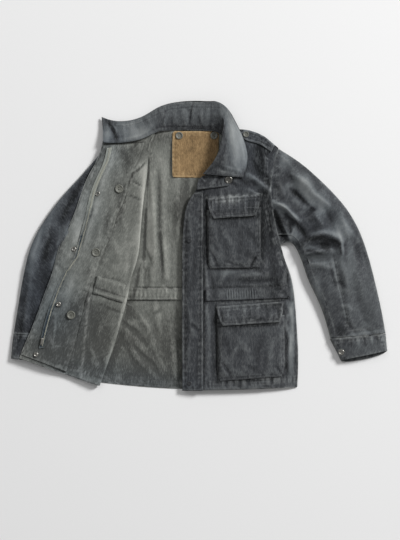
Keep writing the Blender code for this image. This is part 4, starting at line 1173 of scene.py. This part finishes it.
# %% The collar
COLLAR_CREASES = [
    (-94, 313, -97, 373, 6.5, 1.4), (-73, 308, -73, 356, 5.2, -1.1), (-40, 313, -43, 373, 6.5, 1.4),
    (-24, 316, -27, 378, 5.2, -1.3), (5, 319, 8, 373, 6.5, 1.4), (30, 319, 32, 367, 5.2, -1.2),
    (59, 335, 59, 373, 6.5, 1.4), (-127, 319, -138, 351, 6.5, 1.4), (-159, 302, -176, 335, 6.5, -1.4),
    (-197, 292, -208, 329, 6.5, 1.3), (-230, 292, -235, 329, 5.2, -1.1), (78, 335, 94, 259, 7.8, 1.8, 4),
    (105, 286, 116, 219, 7.8, -1.4), (62, 259, 78, 211, 7.8, 1.6), (35, 221, 73, 202, 6.5, -1.4),
    (84, 232, 116, 189, 6.5, 1.3), (19, 200, 46, 194, 5.2, 0.9), (73, 319, 62, 270, 5.2, 1.4),
]
COLLAR_TONES = [
    (86, 302, 11, 40, 0.8), (20, 362, 200, 50, 0.28), (90, 345, 30, 30, 0.35), (104, 290, 18, 60, 1),
    (112, 240, 26, 50, 0.65), (52, 262, 16, 40, -0.3), (28, 216, 24, 20, -0.3), (126, 190, 24, 16, -0.45),
    (-200, 310, 70, 50, 0.25), (-164, 304, 34, 22, 0.8), (-247, 297, 11, 20, 0.9),
]
COLLAR_PAINTED_SHADING = [
    (-246, 334, -220, 280, 5, -1.5, 6), (-234, 326, -222, 300, 4, 0.8, 4), (-256, 344, -222, 330, 6, -0.4),
    (-196, 322, -120, 352, 7, 0.25, 4), (-210, 296, -150, 302, 6, -0.3), (-240, 334, -150, 336, 5, 0.3, -8),
    (-16, 386, -26, 330, 2, -0.8), (-100, 318, -90, 360, 3, -0.5), (-42, 316, -38, 350, 3, -0.4),
    (6, 316, 0, 350, 3, -0.4), (-100, 320, 50, 319, 4, -0.5), (-222, 284, -120, 312, 4, 0.5, -5),
    (-92, 330, -84, 366, 4, 0.3), (-30, 330, -34, 366, 4, 0.3), (20, 330, 26, 372, 5, 0.3),
    (66, 350, 48, 250, 5, -0.5, 6), (108, 330, 124, 220, 5, 0.5), (60, 216, 118, 200, 3, 0.4),
    (-160, 292, -108, 320, 4, -0.5), (-220, 300, -130, 312, 6, 0.3, -8),
]
COLLAR_WORN = [
    (-76, 383, 58, 385, 3, 0.4), (122, 300, 132, 230, 3, 0.5), (118, 186, 40, 204, 3, 0.5),
]
print("collar creases:", len(COLLAR_CREASES))

# %% [markdown]
# Seams are paths of stitches that no rim gives: hems, armholes, side lines and the outlines of pockets on
# the inside.

# %% Seams
SEAMS = {
    "left_front": [
        [(-40, -363), (30, -367), (111, -364), (192, -359), (262, -355)],
        [(-40, -371), (30, -375), (111, -373), (192, -367), (262, -363)],
        [(184, 259), (180, 216), (178, 167), (181, 116), (192, 49), (208, 0), (221, -49)],
        [(92, 313), (124, 319), (170, 302), (197, 270)],
    ],
    "back_panel": [
        [(-256, -351), (-186, -358), (-119, -363), (-43, -366)],
        [(-256, -359), (-186, -366), (-119, -371), (-43, -374)],
        [(-143, 308), (-132, 259), (-127, 224)],
    ],
    "right_front": [
        [(-473, -279), (-402, -310), (-343, -329), (-259, -355)],
        [(-159, 216), (-181, 192), (-194, 151), (-202, 105), (-224, 70), (-235, 30)],
    ],
    "right_facing": [
        [(-251, 265), (-267, 189), (-289, 116), (-305, 54), (-332, -32), (-364, -119), (-397, -205)],
        [(-194, 143), (-208, 105), (-230, 70), (-240, 27), (-256, -19)],
    ],
    "left_top_sleeve": [
        [(362, -35), (375, -105), (396, -192), (397, -219)],
        [(211, 259), (205, 216), (205, 167), (205, 116)],
        [(216, 262), (211, 216), (212, 167), (211, 116)],
    ],
    "collar": [
        [(-16, 383), (-22, 362), (-30, 338)],
        [(-246, 324), (-202, 321), (-162, 329), (-119, 351), (-76, 367), (-19, 373), (54, 370)],
        [(-100, 319), (-78, 321), (-24, 321), (30, 321), (62, 327)],
    ],
}
print("seams:", sum(len(paths) for paths in SEAMS.values()))

# %% [markdown]
# A zone joins the tables that cross a piece. The zip's tape takes the creases and the painted shading of the
# right front and has tones of its own, and the label takes the creases and worn lines of the back.

# %% Zones
# Where the dye has faded bluer: x, y, reach in x, reach in y, amount
COOL_PLACES = [
    (-250, 255, 60, 70, 0.55), (-300, 110, 60, 120, 0.45), (-390, -190, 90, 110, 0.8),
    (-440, 20, 100, 200, 0.5), (-300, -350, 160, 50, 0.7), (-120, -372, 120, 30, 0.6),
    (150, 240, 60, 130, 0.45), (320, 60, 90, 90, 0.3),
]
ZIP_TONES = [(-262, 200, 60, 120, 0.80), (-420, -250, 60, 90, -0.9)]
ZONES = {
    # zone: creases, tones, painted shading, worn lines
    "back": (BACK_CREASES, BACK_TONES, BACK_PAINTED_SHADING, BACK_WORN),
    "right front": (RIGHT_FRONT_CREASES, RIGHT_TONES, RIGHT_PAINTED_SHADING, RIGHT_WORN),
    "left front": (LEFT_FRONT_CREASES + POCKET_CREASES, FRONT_TONES, FRONT_PAINTED_SHADING, FRONT_WORN),
    "left sleeve": (LEFT_SLEEVE_CREASES, SLEEVE_TONES, SLEEVE_PAINTED_SHADING, SLEEVE_WORN),
    "right sleeve": (RIGHT_SLEEVE_CREASES, RIGHT_SLEEVE_TONES, RIGHT_SLEEVE_PAINTED_SHADING, ()),
    "collar": (COLLAR_CREASES, COLLAR_TONES, COLLAR_PAINTED_SHADING, COLLAR_WORN),
    "zip": (RIGHT_FRONT_CREASES, ZIP_TONES, RIGHT_PAINTED_SHADING, ()),
    "label": (BACK_CREASES, (), (), BACK_WORN),
}
print("zones:", len(ZONES))

# %% [markdown]
# Every piece was cut from flat cloth. This table says how wide and how long each cut is, how the piece is
# held now, and what it lies on. A sleeve piece is a tube's part, a gathered channel is cut longer than it
# lies, and the rest is close to its flat size.

# %% Flat cuts
CUTS = {
    # piece: width and length in mm, how it is held, what it rests on
    "back_panel": (590, 660, "laid", ()),
    "back_waist_channel": (600, 33, "gathered", ["back_panel"]),
    "label_patch": (125, 125, "laid", ["back_panel"]),
    "left_top_sleeve": (200, 460, "laid", ["left_under_sleeve"]),
    "left_under_sleeve": (230, 460, "laid", ()),
    "left_cuff": (300, 58, "folded", ()),
    "right_top_sleeve": (170, 460, "laid", ["right_under_sleeve"]),
    "right_under_sleeve": (180, 460, "laid", ()),
    "right_cuff": (300, 68, "folded", ()),
    "right_front": (360, 650, "folded", ["back_panel", "right_top_sleeve"]),
    "left_front": (300, 700, "laid", ["back_panel"]),
    "right_facing": (125, 620, "laid", ["right_front"]),
    "right_waist_channel": (90, 50, "gathered", ["right_front"]),
    "right_zip_tape": (15, 560, "laid", ["right_facing"]),
    "left_placket": (57, 533, "laid", ["left_front"]),
    "left_waist_channel": (230, 35, "gathered", ["left_front"]),
    "chest_pocket_bag": (160, 170, "laid", ["left_front"]),
    "chest_pocket_flap": (147, 62, "laid", ["chest_pocket_bag"]),
    "lower_pocket_bag": (195, 185, "laid", ["left_front"]),
    "lower_pocket_flap": (180, 62, "laid", ["lower_pocket_bag"]),
    "throat_tab": (90, 40, "laid", ["left_front"]),
    "left_epaulette": (95, 28, "laid", ["left_front"]),
    "collar": (360, 120, "folded", ["back_panel", "left_front"]),
}
print("cut pieces:", len(CUTS))

# %% [markdown]
# The jacket is dressed in the order in which it was laid: the back first, then the sleeves, the fronts, and
# what is sewn on them. A laid piece takes the creases of what carries it, and is then settled clear of it.

# %% The cloth pieces, from the floor up
OUT = (SHELL, REVERSE)
INNER = (REVERSE, SHELL)
BOTH = (SHELL, SHELL)
LINED = (REVERSE, REVERSE)
DOUBLE_WALL = 2.6
NARROW_WALL = 1.2

make_cloth("back_panel", 3, INNER, "inside", "back")
make_cloth("back_waist_channel", 2, LINED, "inside", "back", edge=0.8, on=["back_panel"], worn=0.3)
sewn_label = {"on": ["back_panel"], "thick": NARROW_WALL, "edge": 0.5, "corner": 8}
make_cloth("label_patch", 3, (LABEL_CLOTH, LABEL_CLOTH), "label", "label", **sewn_label)
make_cloth("left_top_sleeve", 4, OUT, "outside", "left sleeve", angle=-35, crumple=1.2)
make_cloth("left_under_sleeve", 3, OUT, "outside", "left sleeve", angle=-35)
make_cloth("left_cuff", 3, OUT, "outside", "left sleeve", angle=-20, edge=0.8)
make_cloth("right_top_sleeve", 3, OUT, "outside", "right sleeve", angle=35, crumple=1.4)
make_cloth("right_under_sleeve", 2, OUT, "outside", "right sleeve", angle=35)
make_cloth("right_cuff", 3, OUT, "outside", "right sleeve", angle=15, edge=0.8)
make_cloth("right_front", 3, INNER, "inside", "right front", angle=-20)
make_cloth("left_front", 3, OUT, "outside", "left front", crumple=1.1)
inside_right = {"edge": 0.6, "angle": -20, "worn": 0.25, "thin": 1.1}
make_cloth("right_facing", 3, INNER, "inside", "right front", on=["right_front"], **inside_right)
under_channel = ["right_front", "right_facing"]
flush = {"angle": -20, "worn": 0, "thin": 1.5}
make_cloth("right_waist_channel", 3, INNER, "inside", "right front", on=under_channel, **flush)
band = {"angle": -20, "on": ["right_facing"], "thick": NARROW_WALL}
make_cloth("right_zip_tape", 3, (ZIP_TAPE, ZIP_TAPE), "tape", "zip", **band)
doubled = {"on": ["left_front"], "thick": DOUBLE_WALL, "edge": 1.2, "crumple": 1.2}
make_cloth("left_placket", 3, BOTH, "outside", "left front", worn=0.5, **doubled)
make_cloth("left_waist_channel", 2, BOTH, "outside", "left front", edge=0.5, on=["left_front"], worn=0.0)
for name, flap_levels in (("chest_pocket", 4), ("lower_pocket", 3)):
    make_cloth(f"{name}_bag", 3, OUT, "outside", "left front", edge=1.0, on=["left_front"], worn=0.4)
    doubled["on"] = [f"{name}_bag", "left_front"]
    make_cloth(f"{name}_flap", flap_levels, BOTH, "outside", "left front", worn=0.7, **doubled)
doubled["on"] = ["left_front", "left_placket"]
make_cloth("throat_tab", 2, BOTH, "outside", "left front", worn=0.3, **doubled)
make_cloth("left_epaulette", 3, BOTH, "outside", "left front", **doubled)
make_cloth("collar", 3, BOTH, "outside", "collar", edge=0.6, crumple=1.3, worn=0.25, thin=1.3)

# %% [markdown]
# Stitches and zip teeth both follow a path at an even pitch, and each is dropped from above onto its own
# piece. A place where the cloth turns down too steeply gets none, as nothing of it would show.

# %% Places along a path
# The least upward part of a normal on which a stitch is laid
LEAST_RISE = 0.2


def spots_along(path, pitch):
    """Points every pitch along a path in plan, each with its direction."""
    corners = np.array(path, float)[:, :2]
    runs = np.diff(corners, axis=0)
    lengths = np.hypot(*runs.T)
    ends = np.concatenate([[0], np.cumsum(lengths)])
    places = np.arange(pitch / 2, ends[-1], pitch)
    part = np.clip(np.searchsorted(ends, places, side="right") - 1, 0, len(runs) - 1)
    spots = corners[part] + runs[part] * ((places - ends[part]) / lengths[part])[:, None]
    return spots, runs[part] / lengths[part][:, None]


def laid_along(node, path, pitch):
    """Places every pitch along a path on a piece's top: spot in mm, normal and direction."""
    tree = top_of([node])[0]
    for (x, y), (dx, dy) in zip(*spots_along(path, pitch)):
        spot, normal, _, _ = tree.ray_cast(Vector((x * MM, y * MM, SKY * MM)), -UP)
        if spot is None or normal.z < LEAST_RISE:
            continue
        along = Vector((dx, dy, 0))
        yield spot / MM, normal, (along - normal * along.dot(normal)).normalized()


print("places on 9 mm at a 3 mm pitch:", len(spots_along([(0, 0), (9, 0)], 3)[0]))

# %% [markdown]
# Stitches are modelled one by one where they show, as slim lozenges of thread that lie half sunk in their
# groove. A row has one every 3.2 mm, a usual length for heavy thread, and many rows are joined in one piece
# for each thread.

# %% Stitches
STITCH_PITCH = 3.2
STITCH_LENGTH = 2.5
THREAD_WIDTH = 0.7
THREAD_SINK = 0.05


def bar(bm, start, end, normal, width):
    """A slim lozenge of thread from start to end, sunk by a third at both ends. Millimetres."""
    along = (end - start).normalized()
    aside = normal.cross(along)
    middle = (start + end) / 2
    corners = [start - normal * width / 3, end - normal * width / 3]
    for way in (aside, normal, -aside, -normal):
        corners.append(middle + way * width / 2)
    corners = [bm.verts.new(corner * MM) for corner in corners]
    for k in range(4):
        n = (k + 1) % 4
        bm.faces.new([corners[0], corners[2 + n], corners[2 + k]])
        bm.faces.new([corners[1], corners[2 + k], corners[2 + n]])


def new_piece(name, bm, look):
    """Makes the mesh a piece that rides on the jacket."""
    bmesh.ops.recalc_face_normals(bm, faces=bm.faces)
    mesh = mesh_of(bm, name)
    mesh.materials.append(look)
    mesh.shade_smooth()
    piece = placed(name, mesh)
    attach(piece, "root")
    return piece


def sew(name, jobs, look):
    """One object of many stitches: jobs are node, path pairs."""
    bm = bmesh.new()
    count = 0
    for node, path in jobs:
        for spot, normal, along in laid_along(node, path, STITCH_PITCH):
            half = along * STITCH_LENGTH / 2
            middle = spot + normal * THREAD_SINK
            bar(bm, middle - half, middle + half, normal, THREAD_WIDTH)
            count += 1
    new_piece(name, bm, look)
    print(name, "stitches:", count)


print("a stitch:", STITCH_LENGTH, "mm of thread every", STITCH_PITCH, "mm")

# %% [markdown]
# Hems, flaps and cuffs have a row close to the edge and a second one at the fold. The inside is sewn with
# grey thread, the label with tan.

# %% Rows of sewing
def edge_jobs(node, *distances):
    """Rows that follow a piece's rim at these distances."""
    return [(node, inset(rims[node], distance)) for distance in distances]


def seam_jobs(node):
    """Rows that follow a piece's seams."""
    return [(node, path) for path in SEAMS[node]]


CHANNEL_ROW = [(-262, -122), (-204, -141)]
HEM_ROW = 2.2
PLACKET_ROW = 2.5
LABEL_ROW = 4.5
shell_jobs = edge_jobs("left_placket", PLACKET_ROW, EDGE_FOLD)
twice_sewn = ["chest_pocket_flap", "lower_pocket_flap", "throat_tab", "left_epaulette", "left_cuff"]
for flap in [*twice_sewn, "right_cuff"]:
    shell_jobs += edge_jobs(flap, HEM_ROW, EDGE_FOLD)
for bag in ("chest_pocket_bag", "lower_pocket_bag", "left_waist_channel"):
    shell_jobs += edge_jobs(bag, HEM_ROW)
shell_jobs += edge_jobs("collar", EDGE_FOLD)
for node in ("left_front", "left_top_sleeve", "collar"):
    shell_jobs += seam_jobs(node)
sew("shell_stitching", shell_jobs, SHELL_THREAD)
reverse_jobs = seam_jobs("back_panel") + seam_jobs("right_front") + seam_jobs("right_facing")
reverse_jobs += edge_jobs("right_facing", HEM_ROW)
reverse_jobs += [("right_waist_channel", CHANNEL_ROW)]
reverse_jobs += edge_jobs("back_waist_channel", HEM_ROW)
sew("reverse_stitching", reverse_jobs, REVERSE_THREAD)
sew("label_stitching", edge_jobs("label_patch", LABEL_ROW), LABEL_THREAD)

# %% [markdown]
# Buttons and snaps are turned parts, so each is a profile spun about its axis. The buttons have a raised
# rim, a dished face and four thread holes with two bars of thread. The snaps have a rolled rim round a deep
# socket.

# %% Profiles of buttons and snaps
BUTTON_PROFILE = [
    # share of the radius, share of the height
    (0.0, 0.0), (0.86, 0.0), (0.97, 0.2), (1.0, 0.55), (0.95, 0.90), (0.85, 1.0), (0.74, 0.92), (0.66, 0.55),
    (0.56, 0.34), (0.40, 0.30), (0.0, 0.30),
]
SNAP_PROFILE = [
    (0.0, 0.0), (0.90, 0.0), (1.0, 0.25), (1.0, 0.5), (0.94, 0.78), (0.84, 0.95), (0.72, 1.0), (0.60, 0.90),
    (0.52, 0.62), (0.48, 0.2), (0.30, 0.12), (0.0, 0.1),
]
CAP_PROFILE = [
    (0.0, 0.0), (0.90, 0.0), (1.0, 0.2), (0.98, 0.5), (0.88, 0.82), (0.70, 0.98), (0.55, 0.92), (0.45, 0.80),
    (0.25, 0.86), (0.0, 0.90),
]
print("points in the profiles:", len(BUTTON_PROFILE), len(SNAP_PROFILE), len(CAP_PROFILE))

# %% [markdown]
# Each round part sits where its CAD node does. The node's points give its middle, and the direction in
# which they spread the least is the axis, so a part that lies on a slope is tilted with it.

# %% Spinning a profile
TURN_STEPS = 40


def seat_of(node):
    """Foot, axis, radius and height of a round CAD node, in mm."""
    corners = np.array([vertex.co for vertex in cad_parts[node].data.vertices]) / MM
    middle = corners.mean(axis=0)
    axis = np.linalg.svd(corners - middle, full_matrices=False)[2][2]
    axis = axis * np.sign(axis[2])
    heights = (corners - middle) @ axis
    radius = np.linalg.norm(corners - middle - heights[:, None] * axis, axis=1).max()
    return Vector(middle + axis * heights.min()), Vector(axis), radius, heights.max() - heights.min()


def spun(profile, radius, height):
    """A profile of radius share, height share pairs, spun round its axis."""
    bm = bmesh.new()
    rings = []
    for share, rise in profile:
        if share == 0:
            rings.append([bm.verts.new((0, 0, rise * height))])
            continue
        turns = [2 * math.pi * k / TURN_STEPS for k in range(TURN_STEPS)]
        reach = share * radius
        ring = [(reach * math.cos(turn), reach * math.sin(turn), rise * height) for turn in turns]
        rings.append([bm.verts.new(place) for place in ring])
    for low, high in zip(rings, rings[1:]):
        for k in range(TURN_STEPS):
            n = (k + 1) % TURN_STEPS
            corners = [low[k % len(low)], low[n % len(low)], high[n % len(high)], high[k % len(high)]]
            bm.faces.new(list(dict.fromkeys(corners)))
    bmesh.ops.recalc_face_normals(bm, faces=bm.faces)
    return bm


print("corners in a turn:", TURN_STEPS)

# %% [markdown]
# The four thread holes go right through a button, so they are bored with an exact boolean cut. The two bars
# of thread lie over its face, from hole to hole.

# %% Thread holes and button threads
HOLE_PLACES = [(0.19, 0.19), (-0.19, 0.19), (-0.19, -0.19), (0.19, -0.19)]
HOLE_REACH = 0.11
HOLE_SIDES = 14
BUTTON_FACE = 0.32
BUTTON_THREAD = 1.1


def cut_holes(piece, radius, height):
    """Bores the thread holes through a button that lies square at the origin."""
    bm = bmesh.new()
    for x, y in HOLE_PLACES:
        place = Matrix.Translation((x * radius, y * radius, 0.5 * height))
        reach = HOLE_REACH * radius
        size = {"segments": HOLE_SIDES, "radius1": reach, "radius2": reach, "depth": 2 * height}
        bmesh.ops.create_cone(bm, cap_ends=True, matrix=place, **size)
    cutter = placed("cutter", mesh_of(bm, "cutter"))
    cut = piece.modifiers.new("Holes", "BOOLEAN")
    cut.operation = "DIFFERENCE"
    cut.solver = "EXACT"
    cut.object = cutter
    whole = piece.data
    piece.data = with_modifiers(piece)
    piece.data.name = whole.name
    piece.modifiers.clear()
    bpy.data.objects.remove(cutter)


def button_threads(name, nodes, look):
    """Two bars of thread over each button's face, between its holes."""
    bm = bmesh.new()
    for node in nodes:
        foot, axis, radius, height = seat_of(node)
        turn = UP.rotation_difference(axis)
        for one, other in ((0, 1), (3, 2)):
            ends = [Vector((*HOLE_PLACES[k], 0)) * radius for k in (one, other)]
            start, end = [foot + turn @ (spot + UP * height * BUTTON_FACE) for spot in ends]
            bar(bm, start, end, axis, BUTTON_THREAD)
    new_piece(name, bm, look)


print("thread holes in a button:", len(HOLE_PLACES))

# %% [markdown]
# The jacket has six resin buttons, six open snaps and three painted caps. The top snap, in the shadow of
# the collar's leaf, is given darker nickel as painted shade.

# %% Buttons and snaps
SHARP = math.radians(60)


def turned_piece(node, profile, look, holed=False):
    """A round piece spun from a profile, seated and tilted as its CAD node is."""
    foot, axis, radius, height = seat_of(node)
    piece = new_piece(f"{node}_turned", spun(profile, radius, height), look)
    if holed:
        cut_holes(piece, radius, height)
    place = Matrix.Translation(foot) @ UP.rotation_difference(axis).to_matrix().to_4x4()
    piece.data.transform(Matrix.Scale(MM, 4) @ place)
    piece.data.shade_smooth()
    piece.data.set_sharp_from_angle(angle=SHARP)
    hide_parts(node)


buttons = ["liner_button_1", "liner_button_2", "liner_button_3", "label_button_1", "label_button_2"]
buttons += ["epaulette_button"]
snaps = ["fly_stud_1", "fly_stud_2", "fly_stud_3", "fly_stud_4", "left_cuff_stud", "top_stud"]
caps = ["placket_stud_1", "placket_stud_2", "placket_stud_3"]
for node in buttons:
    turned_piece(node, BUTTON_PROFILE, RESIN, holed=True)
for node in snaps:
    turned_piece(node, SNAP_PROFILE, SHADED_NICKEL if node == "top_stud" else NICKEL)
for node in caps:
    turned_piece(node, CAP_PROFILE, PAINTED_CAP)
button_threads("button_threads", buttons, REVERSE_THREAD)
print("turned pieces:", len(buttons) + len(snaps) + len(caps))

# %% [markdown]
# The zip's teeth are small moulded blocks that clamp the tape's edge, one every 3 mm. The tape ends at a
# metal pin, and the pin is a fine copy of its CAD wall in the same plated metal as the snaps.

# %% Zip teeth and pin
TOOTH_PITCH = 3.0
TOOTH = (1.5, 3.2, 1.0)
TOOTH_SINK = 0.25
TOOTH_BEVEL = 0.25
ZIP_LINE = [
    (-239, 263), (-247, 225), (-265, 188), (-282, 146), (-298, 74), (-315, 11), (-327, -31), (-355, -70),
    (-376, -116), (-397, -175), (-413, -234), (-421, -270),
]


def zip_teeth():
    """One block for each tooth along the tape, laid on the tape's top."""
    bm = bmesh.new()
    count = 0
    for spot, normal, along in laid_along("right_zip_tape", ZIP_LINE, TOOTH_PITCH):
        turn = Matrix((along, normal.cross(along), normal)).transposed().to_4x4()
        foot = Matrix.Translation(spot + normal * (TOOTH[2] / 2 - TOOTH_SINK))
        bmesh.ops.create_cube(bm, size=1, matrix=foot @ turn @ Matrix.Diagonal((*TOOTH, 1)))
        count += 1
    bmesh.ops.bevel(bm, geom=bm.edges[:], offset=TOOTH_BEVEL, segments=1, affect="EDGES")
    bmesh.ops.scale(bm, verts=bm.verts, vec=(MM, MM, MM))
    new_piece("zip_teeth", bm, TEETH)
    print("zip teeth:", count)


zip_teeth()
pin, _ = fine_copy("zip_pin", 2)
pin.data.materials.append(NICKEL)
pin.data.materials.append(NICKEL)
pin.data.shade_smooth()
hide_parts("zip_pin")
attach(pin, "root")

# %% [markdown]
# The floor is one large pale sheet.

# %% Floor, sizes and the end
def make_floor():
    """A pale sheet that isn't part of the jacket."""
    half = FLOOR_SIZE / 2 * MM
    mesh = bpy.data.meshes.new("Floor")
    corners = [(-half, -half, 0), (half, -half, 0), (half, half, 0), (-half, half, 0)]
    mesh.from_pydata(corners, [], [(0, 1, 2, 3)])
    floor = placed("Floor", mesh)
    look, tree, shader = new_look("Painted studio floor")
    plug(tree, shader, {"Base Color": linear("#e9e9e9"), "Roughness": 0.8})
    mesh.materials.append(look)


make_floor()
shown = [item for item in scene.objects if item.type == "MESH" and not item.hide_render]
triangles = [len(face.vertices) - 2 for item in shown for face in item.data.polygons]
print("triangles that show:", sum(triangles))
